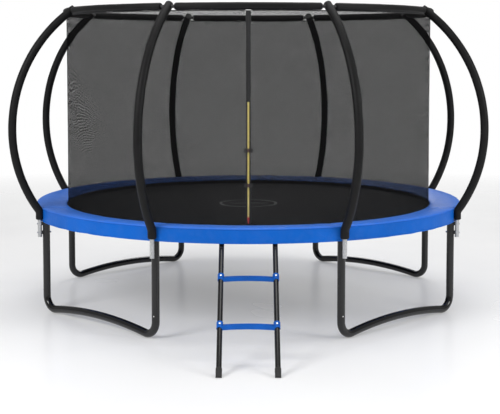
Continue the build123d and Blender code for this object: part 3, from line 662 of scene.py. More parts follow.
class TrampolineSettings(bpy.types.PropertyGroup):
    """Sizes and colours of the trampoline's cloth, foam and finishes"""

    foam_dent: length_property("Foam dent", "Depth of the dents along the foam sleeves", 0.0009)
    net_ripple: length_property("Net ripple", "How far the net waves between the posts", 0.004)
    net_pitch: length_property("Net pitch", "Distance from thread to thread of the net", 0.003)
    net_thread: bpy.props.FloatProperty(
        name="Net thread share", description="Share of the pitch that a thread takes",
        default=0.45, min=0.05, max=0.9,
    )
    pad_crown: length_property("Pad crown", "How far the pad swells above its edges", 0.006)
    pad_wrinkle: length_property("Pad wrinkle", "Height of the creases in the pad", 0.0016)
    skirt_wave: length_property("Skirt wave", "How far the skirt waves in between the legs", 0.005)
    spring_pitch: length_property("Spring pitch", "Distance between turns of a spring", 0.0042)
    tooth_pitch: length_property("Zip tooth pitch", "Distance from tooth to tooth of the zip", 0.0026)
    mark_size: length_property("Mat mark", "Radius of the ring printed on the mat", 0.26)

    # The pad top's colour is the skirt's vinyl painted lighter and whiter: painted light from above on the
    # top, not a different cloth.
    lit_pad_top_colour: colour_property("Pad top", "Top of the spring pad", (0.036, 0.18, 0.72))
    skirt_colour: colour_property("Skirt", "Skirt and outer edge of the pad", (0.003, 0.125, 0.57))
    step_colour: colour_property("Steps", "Powder coat of the ladder steps", (0.006, 0.1, 0.45))
    tube_colour: colour_property("Tubes", "Powder coat of the legs and ladder rails", (0.004, 0.004, 0.0045))
    foam_colour: colour_property("Foam", "Skin of the foam sleeves", (0.009, 0.009, 0.0092))
    net_colour: colour_property("Net", "Thread of the net", (0.006, 0.006, 0.0062))
    mat_colour: colour_property("Mat", "Cloth of the mat", (0.022, 0.022, 0.023))
    mark_colour: colour_property("Mat mark", "Ring and cross printed on the mat", (0.32, 0.32, 0.32))
    band_colour: colour_property("Webbing", "Bands and straps", (0.013, 0.013, 0.014))
    zip_colour: colour_property("Zip", "Teeth and cloth of the zip", (0.8, 0.66, 0.19))
    pull_colour: colour_property("Zip slider", "Slider and pull of the zip", (0.42, 0.05, 0.035))
    steel_colour: colour_property("Bare steel", "Zinc-coated tubes", (0.62, 0.63, 0.64))


def finish_of(slot):
    """The material of a finish, made the first time that it is asked for."""
    name = f"{slot}_finish"
    found = bpy.data.materials.get(name)
    if found:
        return found
    s = settings()
    makers = {
        "black_steel": lambda: powder_coat(name, s.tube_colour, 0.16),
        "galvanised_steel": lambda: galvanised(name, s.steel_colour),
        "pole_steel": lambda: galvanised(name, [c * 0.95 for c in s.steel_colour]),
        "foam_sleeve": lambda: foam_skin(name, s.foam_colour),
        "black_plastic": lambda: moulded(name, (0.016, 0.016, 0.017), 0.42),
        "zinc_steel": lambda: zinc_plate(name, (0.66, 0.67, 0.69), 0.12),
        "mat_fabric": lambda: mat_cloth(name, s.mat_colour, s.mark_colour, s.mark_size),
        "webbing": lambda: woven(name, s.band_colour, 0.0016, 0.62, 0.005),
        "net_mesh": lambda: net_mesh(name, s.net_colour, s.net_pitch, s.net_thread),
        # Pad top and skirt are one vinyl: the top takes the painted-lit colour and more painted sheen.
        "pad_cover": lambda: pad_vinyl(name, s.lit_pad_top_colour, 0.4, 0.42),
        "skirt_cover": lambda: pad_vinyl(name, s.skirt_colour, 0.42, 0.12),
        "zip_yellow": lambda: moulded(name, s.zip_colour, 0.36, 2600.0),
        "zip_cloth": lambda: woven(name, s.zip_colour, 0.0009, 0.6),
        "zip_pull_red": lambda: powder_coat(name, s.pull_colour, 0.3),
        "blue_step": lambda: powder_coat(name, s.step_colour, 0.33, 0.15),
        "rubber": lambda: moulded(name, (0.018, 0.018, 0.018), 0.6, 900.0),
        "thread": lambda: woven(name, (0.05, 0.05, 0.052), 0.0006, 0.6),
        "pad_thread": lambda: woven(name, (0.02, 0.1, 0.42), 0.0006, 0.55),
        "brown_plastic": lambda: moulded(name, (0.11, 0.045, 0.035), 0.4),
    }
    made = makers[slot]()
    if made.name != name or len(made.node_tree.nodes) < 5:
        raise RuntimeError(f"{slot} has no finish of its own")
    return made


# ---------------------------------------------------------------- pole and hoop foam
def pole_path(step):
    """The pole's centreline, foam's foot to just past the hoop: distance outwards, height, direction."""
    lower_mid = BULGE_R - LOWER_BOW_R
    upper_mid = BULGE_R - UPPER_BOW_R
    kick = math.acos((POLE_R + BEND_R - lower_mid) / (LOWER_BOW_R + BEND_R))
    bend_z = BULGE_Z - (LOWER_BOW_R + BEND_R) * math.sin(kick)
    top = math.acos((HOOP_R - upper_mid) / UPPER_BOW_R) + FOAM_PAST_HOOP / UPPER_BOW_R
    runs = [(bend_z - FOAM_LOW, None), (BEND_R * kick, 0), (LOWER_BOW_R * kick, 1), (UPPER_BOW_R * top, 2)]
    length = sum(run for run, _ in runs)
    travel = np.linspace(0, length, int(round(length / step)) + 1)
    r, z, lean = (np.zeros_like(travel) for _ in range(3))
    start = 0.0
    for run, kind in runs:
        here = (travel >= start - 1e-9) & (travel <= start + run + 1e-9)
        s = travel[here] - start
        if kind is None:
            r[here], z[here], lean[here] = POLE_R, FOAM_LOW + s, 0.0
        elif kind == 0:
            turn = math.pi - s / BEND_R
            r[here] = POLE_R + BEND_R + BEND_R * np.cos(turn)
            z[here] = bend_z + BEND_R * np.sin(turn)
            lean[here] = s / BEND_R
        elif kind == 1:
            turn = s / LOWER_BOW_R - kick
            r[here] = lower_mid + LOWER_BOW_R * np.cos(turn)
            z[here] = BULGE_Z + LOWER_BOW_R * np.sin(turn)
            lean[here] = -turn
        else:
            turn = s / UPPER_BOW_R
            r[here] = upper_mid + UPPER_BOW_R * np.cos(turn)
            z[here] = BULGE_Z + UPPER_BOW_R * np.sin(turn)
            lean[here] = -turn
        start += run
    return travel, r, z, lean


def sleeve_section(travel, radius, bore, columns, dent, seed, folds=()):
    """Rows of the sleeve's section: tucked ends, a closing seam, dents, and folds where it bends."""
    length = travel[-1]
    around = np.linspace(0, 2 * math.pi, columns, endpoint=False)
    uneven = ripple(seed, 9, 0.32, 0.03)
    rows = np.full((len(travel), columns), radius)
    reach = np.minimum(travel, length - travel)
    edge = 0.007
    inside = np.clip(1 - reach / edge, 0, 1)[:, None]
    rows -= edge * 0.8 * (1 - np.sqrt(1 - inside**2))
    rows += dent * uneven(travel[:, None], around[None, :] * radius) * (1 - inside)
    seam = np.exp(-(((around - math.pi + math.pi) % (2 * math.pi) - math.pi) * radius / 0.0022) ** 2)
    rows -= 0.0013 * seam[None, :]
    for place, spread, facing, depth in folds:
        bell = np.exp(-(((travel - place) / spread) ** 2))[:, None]
        pinch = (0.5 + 0.5 * np.cos(2 * math.pi * travel / 0.017))[:, None] ** 3
        side = np.clip(np.cos(around - facing), 0, 1)[None, :] ** 1.5
        rows -= depth * bell * pinch * side
    first, last = rows[:1] * 0 + bore, rows[:1] * 0 + bore
    return np.concatenate((first, first, rows, last, last)), around


def sleeve(name, line, normals, binormals, travel, radius, bore, columns, seed, folds, replaced):
    """A foam sleeve along a line, open at both ends round its tube."""
    rows, around = sleeve_section(travel, radius, bore, columns, settings().foam_dent, seed, folds)
    tuck = 0.012
    ends = (normals, binormals)
    starts = line[0] + (line[1] - line[0]) / np.linalg.norm(line[1] - line[0]) * tuck
    finishes = line[-1] - (line[-1] - line[-2]) / np.linalg.norm(line[-1] - line[-2]) * tuck
    line = np.concatenate(([starts], line[:1], line, line[-1:], [finishes]))
    normals, binormals = (np.concatenate((v[:1], v[:1], v, v[-1:], v[-1:])) for v in ends)
    section = np.stack((rows * np.cos(around), rows * np.sin(around)), -1)
    build = Build()
    along = np.concatenate(([-tuck, 0.0], travel, [travel[-1], travel[-1] + tuck]))
    sweep(build, line, normals, binormals, section, along)
    skin = build.verts[-1]
    away = np.hypot(skin[:, 0], skin[:, 1])
    pressed = (skin[:, 2] < FOAM_REST_TOP) & (away < FOAM_REST_R)
    skin[pressed, :2] *= (FOAM_REST_R / away[pressed])[:, None]
    made = build.make(name, finish_of("foam_sleeve"), "root", "foam_sleeve")
    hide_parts(replaced)
    return made


class TRAMPOLINE_OT_pole_foam(bpy.types.Operator):
    """Foam sleeves over the eight enclosure poles"""

    bl_idname = "trampoline.pole_foam"
    bl_label = "Pole foam"

    def execute(self, context):
        travel, r, z, lean = pole_path(0.008)
        bend_place = 0.066
        for number, (place, bearing) in enumerate(POSTS.items()):
            out, _ = out_and_round(bearing)
            up = np.array((0.0, 0.0, 1.0))
            line = r[:, None] * out + z[:, None] * up
            normals = np.cos(lean)[:, None] * out - np.sin(lean)[:, None] * up
            tangents = np.sin(lean)[:, None] * out + np.cos(lean)[:, None] * up
            binormals = np.cross(tangents, normals)
            folds = ((bend_place, 0.04, 0.0, 0.0035), (bend_place + 0.02, 0.05, math.pi, 0.0008))
            sleeve(
                f"foam_sleeve_{place}", line, normals, binormals, travel,
                FOAM_R, FOAM_BORE_R, 36, 11 + number, folds, f"pole_foam_{place}",
            )
        return {"FINISHED"}


class TRAMPOLINE_OT_hoop_foam(bpy.types.Operator):
    """Foam sleeves over the rods of the top hoop"""

    bl_idname = "trampoline.hoop_foam"
    bl_label = "Hoop foam"

    def execute(self, context):
        half = POST_PITCH / 2 - math.degrees(HOOP_FOAM_START / HOOP_R)
        length = math.radians(2 * half) * HOOP_R
        travel = np.linspace(0, length, int(length / 0.01) + 1)
        for number, (place, bearing) in enumerate(SECTIONS.items()):
            turn = np.radians(bearing - half) + travel / HOOP_R
            out = np.stack((np.sin(turn), -np.cos(turn), 0 * turn), -1)
            line = out * HOOP_R + np.array((0, 0, HOOP_Z))
            up = np.broadcast_to(np.array((0.0, 0.0, 1.0)), out.shape)
            sleeve(
                f"hoop_sleeve_{place}", line, -out, up, travel,
                HOOP_FOAM_R, HOOP_FOAM_BORE_R, 28, 31 + number, (), "hoop_foam",
            )
        return {"FINISHED"}


# ---------------------------------------------------------------- net
DOOR_HALF = math.degrees((TAPE_HIGH.x + 0.0005) / NET_R)


class TRAMPOLINE_OT_net(bpy.types.Operator):
    """The safety net in two halves, with its top binding and the hem on the mat"""

    bl_idname = "trampoline.net"
    bl_label = "Net"

    def half(self, side, first, last):
        s = settings()
        columns = int((last - first) / 0.75) + 1
        rows = 41
        bearing = np.linspace(first, last, columns)[None, :]
        height = np.linspace(NET_BOTTOM, NET_TOP, rows)[:, None]
        share = (height - NET_BOTTOM) / (NET_TOP - NET_BOTTOM)
        uneven = ripple(5 + int(first), 8, 1.4, 0.16)
        run = np.radians(bearing) * NET_R
        hang = np.sin(math.pi * share) ** 0.8
        pull = (0.5 - 0.5 * np.cos(np.radians((bearing % 10) * 36))) * share**6
        door = np.clip(np.minimum(bearing - first, last - bearing) / 2.0, 0, 1)
        billow = hang * (0.55 + 0.45 * uneven(run, height * 0.25)) + 0.35 * pull
        radius = NET_R - door * s.net_ripple * billow
        turn = np.radians(bearing)
        levels = np.broadcast_to(height, radius.shape)
        points = np.stack((radius * np.sin(turn), -radius * np.cos(turn), levels), -1)
        uv = np.stack(np.broadcast_arrays(run, height), -1)
        build = Build()
        build.grid(points, uv)
        made = build.make(f"net_{side}", finish_of("net_mesh"), "root", "net_mesh")
        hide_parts(f"net_front_{side}", f"net_rear_{side}")
        return made, (math.radians(last - first) * NET_R, NET_TOP - NET_BOTTOM)

    def band(self, name, first, last, low, high, outset, body="root"):
        columns = int((last - first) / 0.75) + 1
        bearing = np.linspace(first, last, columns)
        run = np.radians(bearing) * NET_R
        build = Build()
        uneven = ripple(17, 6, 0.5, 0.08)
        outer = ((1, 0), (1.3, 0.04), (1.3, 0.96), (1, 1))
        inner = ((0.1, 1), (0, 0.96), (0, 0.04), (0.1, 0))
        section = np.array(outer + inner)
        radius = NET_R + outset + section[None, :, 0] * 0.0012
        height = low + (high - low) * section[None, :, 1] + 0.0006 * uneven(run, 0 * run)[:, None]
        turn = np.radians(bearing)[:, None]
        points = np.stack(
            np.broadcast_arrays(radius * np.sin(turn), -radius * np.cos(turn), height + 0 * turn), -1
        )
        uv = np.stack(np.broadcast_arrays(run[:, None], section[None, :, 1] * (high - low)), -1)
        start = build.grid(points, uv, close_v=True)
        build.face([start + k for k in range(8)])
        build.face([start + (columns - 1) * 8 + k for k in reversed(range(8))])
        return build.make(name, finish_of("webbing"), body, "webbing")

    def stitching(self):
        build = Build()
        for first, last in ((DOOR_HALF, 180), (180, 360 - DOOR_HALF)):
            for bearing in np.arange(first + 0.1, last - 0.1, 0.3):
                out, along = out_and_round(bearing)
                middle = out * (NET_R + 0.0017) + np.array((0, 0, NET_TOP - BINDING / 2))
                brick(build, middle, along, np.array((0, 0, 1.0)), out, 0.005, 0.0009, 0.0005)
        return build.make("band_stitching", finish_of("thread"), "root", "webbing", smooth=False)

    def execute(self, context):
        hems = []
        for side, first, last in (("right", DOOR_HALF, 180.0), ("left", 180.0, 360 - DOOR_HALF)):
            net, flat = self.half(side, first, last)
            band = self.band(f"net_top_band_{side}", first, last, NET_TOP - BINDING, NET_TOP, 0.0002)
            low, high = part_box("net_hem")
            hem = self.band(
                f"net_foot_band_{side}", first, last, low.z, NET_BOTTOM + 0.004, -0.0016, body=None
            )
            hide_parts("net_hem")
            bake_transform(hem)
            hems.append(hem)
        self.stitching()
        seam = Build()
        line = [spot(180, NET_R + 0.0016, z) for z in np.linspace(NET_BOTTOM, NET_TOP - BINDING, 40)]
        strap(seam, line, (1, 0, 0), 0.016, 0.0014)
        seam.make("net_rear_seam", finish_of("webbing"), "root", "webbing")
        return {"FINISHED"}


# ---------------------------------------------------------------- door
class TRAMPOLINE_OT_door(bpy.types.Operator):
    """The door's tape, zip and buckles"""

    bl_idname = "trampoline.door"
    bl_label = "Door and zip"

    def tape(self):
        build = Build()
        half, slot = TAPE_HIGH.x, 0.0062
        front, back = TAPE_LOW.y, TAPE_HIGH.y
        middle, thick = (front + back) / 2, (back - front) * 0.8
        zip_low, zip_high = ZIP_LOW.z - 0.002, ZIP_HIGH.z + 0.002
        wave = ripple(3, 5, 0.5, 0.07)

        def strip(x0, x1, z0, z1):
            heights = np.arange(z0, z1 + 0.006, 0.012)
            heights[-1] = z1
            x = (x0 + x1) / 2 + 0.0002 * wave(heights, 0)
            y = middle + 0.0003 * wave(heights + 9, 0)
            line = np.stack((x, y, heights), -1)
            strap(build, line, (1, 0, 0), x1 - x0, thick)

        strip(-half, -slot, zip_low, zip_high)
        strip(slot, half, zip_low, zip_high)
        strip(-half, half, zip_high, TAPE_HIGH.z)
        strip(-half, half, TAPE_LOW.z, zip_low)
        made = build.make("door_binding", finish_of("webbing"), "root", "webbing")
        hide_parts("door_tape")
        rows = Build()
        face = np.array((0, -1.0, 0))
        surface = middle - thick / 2
        for x, low, high in (
            (-0.0178, TAPE_LOW.z, TAPE_HIGH.z),
            (0.0178, TAPE_LOW.z, TAPE_HIGH.z),
            (-0.0082, zip_low, zip_high),
            (0.0082, zip_low, zip_high),
            (-0.0025, zip_high + 0.01, TAPE_HIGH.z),
            (0.0025, zip_high + 0.01, TAPE_HIGH.z),
        ):
            heights = np.arange(low + 0.006, high - 0.003, 0.0046)
            for z in heights:
                brick(rows, (x, surface + 0.0002, z), (0, 0, 1), (1, 0, 0), face, 0.0036, 0.0008, 0.0006, 0.6)
        rows.make("door_stitching", finish_of("thread"), "root", "webbing", smooth=False)
        return made

    def zip_rows(self):
        low, high = ZIP_LOW, ZIP_HIGH
        middle = (low.y + high.y) / 2
        cloth = Build()
        heights = np.arange(low.z, high.z + 0.01, 0.02)
        heights[-1] = high.z
        for side in (-1, 1):
            line = [(side * 0.0046, middle + 0.0001 * side, z) for z in heights]
            strap(cloth, line, (1, 0, 0), 0.0032, 0.0009)
        tape = cloth.make("zip_cloth", finish_of("zip_cloth"), "root", "zip_yellow")
        teeth = Build()
        pitch = settings().tooth_pitch
        count = int((high.z - low.z - 0.004) / pitch)
        for n in range(count):
            z = low.z + 0.003 + n * pitch
            for side, shift in ((-1, 0.0), (1, pitch / 2)):
                for face in (-1, 1):
                    middle_x = side * 0.0016
                    brick(
                        teeth, (middle_x, middle, z + shift), (1, 0, 0), (0, 0, 1), (0, face, 0),
                        0.0044, pitch * 0.46, 0.0013, 0.78,
                    )
        rows = teeth.make("zip_teeth", finish_of("zip_yellow"), "root", "zip_yellow", smooth=False)
        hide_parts("zipper")
        stops = Build()
        for z in (low.z + 0.0008, high.z - 0.0012):
            centre = (0, middle + 0.0013, z)
            brick(stops, centre, (1, 0, 0), (0, 0, 1), (0, -1, 0), 0.009, 0.0016, 0.0026, 0.9)
        stops.make("zip_stops", finish_of("zinc_steel"), "root", "zinc_steel", smooth=False)
        return tape

    def stand(self, name, parts, body, material, slot):
        """Stands plates that were drawn flat (x, z) up in front of the tape."""
        verts, faces = [], []
        for (flat, flat_faces), depth, height in parts:
            start = len(verts)
            verts += [(x, depth - w, z + height) for x, z, w in flat]
            faces += [tuple(start + k for k in reversed(f)) for f in flat_faces]
        return piece(name, verts, faces, finish_of(material), body, smooth=False)

    def buckles(self):
        low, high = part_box("buckle_clip_upper")
        middle_y = (low.y + high.y) / 2
        socket_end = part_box("buckle_sockets")[1].x
        shell = [
            rounded(0.0006, socket_end, -0.0135, 0.0135, 0.004),
            rounded(0.0058, 0.0205, 0.0062, 0.0112, 0.0018),
            rounded(0.0058, 0.0205, -0.0112, -0.0062, 0.0018),
            rounded(0.0275, 0.0315, -0.0105, 0.0105, 0.0015),
        ]
        front = plate("socket_shell", shell, 0.0028, 0.0007)
        spine = plate("socket_spine", [rounded(0.0245, 0.0268, -0.012, 0.012, 0.001)], 0.0062, 0.0004)
        edges = plate("socket_edge", [rounded(0.001, 0.0268, 0.0112, 0.0133, 0.001)], 0.0062, 0.0004)
        lower = plate("socket_edge", [rounded(0.001, 0.0268, -0.0133, -0.0112, 0.001)], 0.0062, 0.0004)
        outer_y, inner_y = middle_y - 0.0046, middle_y + 0.0046
        parts = []
        for z in BUCKLES.values():
            parts += [(front, outer_y, z), (front, inner_y, z), (spine, middle_y, z)]
            parts += [(edges, middle_y, z), (lower, middle_y, z)]
        shells = self.stand("buckle_shells", parts, "root", "black_plastic", "black_plastic")
        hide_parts("buckle_sockets")
        badge = plate("badge", [rounded(0.0012, 0.0058, -0.009, 0.009, 0.0012)], 0.0014, 0.0004)
        places = [(badge, outer_y - 0.0012, z) for z in BUCKLES.values()]
        self.stand("buckle_mouths", places, "root", "brown_plastic", "black_plastic")
        for place, z in BUCKLES.items():
            body = f"{place}_clip"
            head = plate(
                "clip_head",
                [
                    rounded(-0.0345, -0.0008, -0.0135, 0.0135, 0.004),
                    rounded(-0.0305, -0.0262, -0.0105, 0.0105, 0.0015),
                ],
                0.0046, 0.0009,
            )
            grip = plate("clip_grip", [rounded(-0.0225, -0.0015, -0.0125, 0.0125, 0.003)], 0.0108, 0.0012)
            prongs = []
            for side in (-1, 1):
                outline = [
                    (-0.002, side * 0.0045), (0.013, side * 0.0052), (0.02, side * 0.0052),
                    (0.0232, side * 0.0072), (0.021, side * 0.0091), (0.014, side * 0.0094),
                    (0.012, side * 0.0082), (-0.002, side * 0.0086),
                ]
                prongs.append(plate("clip_prong", [outline if side > 0 else outline[::-1]], 0.0052, 0.0008))
            clip = self.stand(
                f"buckle_head_{place}",
                [(head, middle_y, z), (grip, middle_y, z)] + [(p, middle_y, z) for p in prongs],
                body, "black_plastic", "black_plastic",
            )
            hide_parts(f"buckle_clip_{place}")
            badge = plate("badge", [rounded(-0.0062, -0.0012, -0.009, 0.009, 0.0012)], 0.0014, 0.0004)
            self.stand(
                f"buckle_badge_{place}", [(badge, middle_y - 0.0055, z)], body,
                "brown_plastic", "black_plastic",
            )
            for tag, side, owner in (("socket", 1, "root"), ("clip", -1, body)):
                build = Build()
                bar = side * 0.034 if side > 0 else -0.0325
                seam, back = TAPE_LOW.y - 0.0005, high.y + 0.0005
                outer = [(bar * 0.3, seam), (bar * 0.52, seam - 0.0004), (bar * 0.72, (seam + back) / 2)]
                outer += [(bar * 0.88, back), (bar, back - 0.0006), (bar + side * 0.0022, middle_y)]
                outer += [(bar, middle_y - 0.0036), (bar - side * 0.005, middle_y - 0.0034)]
                line = [(x, y, z) for x, y in outer]
                strap(build, line, (0, 0, 1), 0.0195, 0.0009)
                build.make(f"{tag}_strap_{place}", finish_of("webbing"), owner, "webbing")

    def execute(self, context):
        tape = self.tape()
        zip_tape = self.zip_rows()
        self.buckles()
        return {"FINISHED"}


# ---------------------------------------------------------------- pad and skirt
def pad_middle(radius):
    """Height of the pad's middle at a distance from the centre."""
    inner = np.clip((radius - PAD_INNER_R) / (PAD_SHOULDER_R - PAD_INNER_R), 0, 1)
    return PAD_INNER_MIDDLE_Z + (PAD_MIDDLE_Z - PAD_INNER_MIDDLE_Z) * inner


class TRAMPOLINE_OT_pad(bpy.types.Operator):
    """The eight padded panels over the springs, with their seams"""

    bl_idname = "trampoline.pad"
    bl_label = "Spring pad"

    def panel(self, place, bearing, seed):
        s = settings()
        half = POST_PITCH / 2 - 0.018
        columns, rows = 133, 30
        v = np.linspace(-1, 1, columns)
        v = np.sign(v) * (1 - (1 - np.abs(v)) ** 1.25)
        u = 0.5 - 0.5 * np.cos(np.linspace(0, math.pi, rows))
        around = np.radians(bearing + v * half)
        radius = PAD_INNER_R + 0.001 + u * (PAD_OUTER_R - PAD_INNER_R - 0.001)
        run = (v * math.radians(half) * PAD_OUTER_R)[None, :]
        from_seam = ((1 - np.abs(v)) * math.radians(half) * PAD_OUTER_R)[None, :]
        from_edge = np.minimum(radius - PAD_INNER_R, PAD_OUTER_R - radius)[:, None]
        plump = (1 - np.clip(1 - from_edge / 0.024, 0, 1) ** 2.2) ** 0.5
        ends = 0.3 + 0.7 * (1 - np.clip(1 - from_seam / 0.034, 0, 1) ** 2.0) ** 0.5
        pucker = np.cos(2 * math.pi * radius / 0.043)[:, None] * np.exp(-from_seam / 0.03)
        hem = np.cos(2 * math.pi * run / 0.05) * np.exp(-from_edge / 0.018)
        uneven = ripple(seed, 12, 0.42, 0.045)(run, radius[:, None])
        fold = ripple(seed + 50, 5, 0.9, 0.3)(run, radius[:, None] * 2)
        crease = -np.exp(-((fold / 0.07) ** 2))
        crown = s.pad_crown * np.sin(math.pi * u)[:, None] ** 0.9 * (1 - np.exp(-from_seam / 0.09))
        lift = crown + s.pad_wrinkle * (0.8 * uneven + 0.75 * crease * np.clip(from_edge / 0.03, 0, 1))
        lift = lift + (0.0011 * pucker + 0.0008 * hem) * np.clip(from_edge / 0.01, 0, 1)
        thick = 0.0089 * plump * ends
        middle = pad_middle(radius)[:, None]
        top = middle + thick + lift * np.clip(plump, 0, 1) * ends
        bottom = middle - thick + 0.0006 * uneven * plump
        sin, cos = np.sin(around)[None, :], -np.cos(around)[None, :]
        build = Build()
        sheets = []
        for height in (top, bottom):
            face = np.broadcast_arrays(radius[:, None] * sin, radius[:, None] * cos, height)
            sheets.append(np.stack(face, -1))
        ring = np.concatenate((sheets[0], sheets[1][::-1]), 0)
        travel = np.concatenate((radius, radius[::-1]))[:, None]
        uv = np.stack(np.broadcast_arrays(run, travel), -1)
        start = build.grid(ring, uv, close_u=True)
        total = 2 * rows
        for column, turn in ((0, 1), (columns - 1, -1)):
            for k in range(rows - 1):
                quad = [k, k + 1, total - 2 - k, total - 1 - k]
                build.face([start + q * columns + column for q in quad[:: -turn]])
        made = build.make(f"pad_panel_{place}", finish_of("pad_cover"), "root", "pad_cover")
        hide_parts("spring_pad")
        return made

    def execute(self, context):
        for number, (place, bearing) in enumerate(SECTIONS.items()):
            self.panel(place, bearing, 71 + number)
        flaps, stitches = Build(), Build()
        for bearing in POSTS.values():
            out, along = out_and_round(bearing)
            radii = np.linspace(PAD_INNER_R + 0.006, PAD_OUTER_R - 0.004, 26)
            top = pad_middle(radii) + 0.0052 + 0.0005 * np.cos(radii * 140)
            line = [out * r + np.array((0, 0, z)) for r, z in zip(radii, top)]
            strap(flaps, line, along, 0.013, 0.0018)
            for side in (-1, 1):
                steps = np.arange(radii[0], radii[-1], 0.005)
                row = np.array([out * r + along * side * 0.0045 for r in steps])
                row[:, 2] = np.interp(np.arange(radii[0], radii[-1], 0.005), radii, top) + 0.0008
                stitch_row(stitches, row, np.array((0, 0, 1.0)), 0.0036, 0.0008, 0.0006)
        flaps.make("pad_seam_tapes", finish_of("skirt_cover"), "root", "pad_cover")
        stitches.make("pad_stitching", finish_of("pad_thread"), "root", "pad_cover", smooth=False)
        return {"FINISHED"}


class TRAMPOLINE_OT_skirt(bpy.types.Operator):
    """The skirt that hangs from the pad's outer edge, with its piping and bottom hem"""

    bl_idname = "trampoline.skirt"
    bl_label = "Pad skirt"

    def execute(self, context):
        s = settings()
        radius = SKIRT_HIGH.x - 0.0008
        top, bottom = SKIRT_HIGH.z + 0.004, SKIRT_LOW.z
        columns, rows = 720, 14
        bearing = np.linspace(0, 360, columns, endpoint=False)[None, :]
        share = np.linspace(0, 1, rows)[:, None]
        run = np.radians(bearing) * radius
        free = np.clip((np.abs(((bearing + 22.5) % 45) - 22.5)) / 22.5, 0, 1)
        free = np.clip((1 - free) * 1.6 - 0.35, 0, 1)
        from_ladder = np.abs((bearing + 180) % 360 - 180)
        free = free * np.clip((from_ladder - 9) / 5, 0, 1)
        waves = 0.5 + 0.5 * np.sin(2 * math.pi * bearing / 4.5 + 1.3 * np.sin(np.radians(bearing * 3)))
        inward = s.skirt_wave * waves * free * share**1.6
        drop = 0.0012 * np.sin(2 * math.pi * bearing / 9.0) * free
        height = top - (top - bottom) * share + drop * share
        turn = np.radians(bearing)
        r = radius - inward
        points = np.stack(np.broadcast_arrays(r * np.sin(turn), -r * np.cos(turn), height + 0 * turn), -1)
        uv = np.stack(np.broadcast_arrays(run, height), -1)
        build = Build()
        build.grid(points, uv, close_v=True)
        skirt = build.make("skirt_sheet", finish_of("skirt_cover"), "root", "pad_cover")
        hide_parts("pad_skirt")
        hem = Build()
        last = points[-1]
        ring = np.concatenate((last, last[:1]))
        out = ring / np.linalg.norm(ring[:, :2], axis=1)[:, None]
        out[:, 2] = 0
        line = ring + np.array((0, 0, 0.006)) + out * 0.0009
        up = np.array((0, 0, 1.0))
        across = np.array((-1.0, -0.9, 0.9, 1.0)) * 0.0115 / 2
        lift = np.array((0.0, 0.0009, 0.0009, 0.0))
        band = line[:, None, :] + across[None, :, None] * up + lift[None, :, None] * out[:, None, :]
        hem.grid(band, flip=True)
        hem.make("skirt_hem", finish_of("skirt_cover"), "root", "pad_cover")
        piping = Build()
        turns = np.linspace(0, 2 * math.pi, 721)
        line = np.stack((np.sin(turns), -np.cos(turns), 0 * turns), -1) * (PAD_OUTER_R - 0.0006)
        line[:, 2] = SKIRT_HIGH.z + 0.0045
        ways = np.stack((np.sin(turns), -np.cos(turns), 0 * turns), -1)
        angles = np.linspace(0, 2 * math.pi, 8, endpoint=False)
        section = np.broadcast_to(
            np.stack((np.cos(angles), np.sin(angles)), -1) * 0.0024, (len(turns), 8, 2)
        )
        sweep(piping, line, ways, np.broadcast_to((0.0, 0.0, 1.0), ways.shape), section)
        piping.make("pad_piping", finish_of("skirt_cover"), "root", "pad_cover")
        return {"FINISHED"}


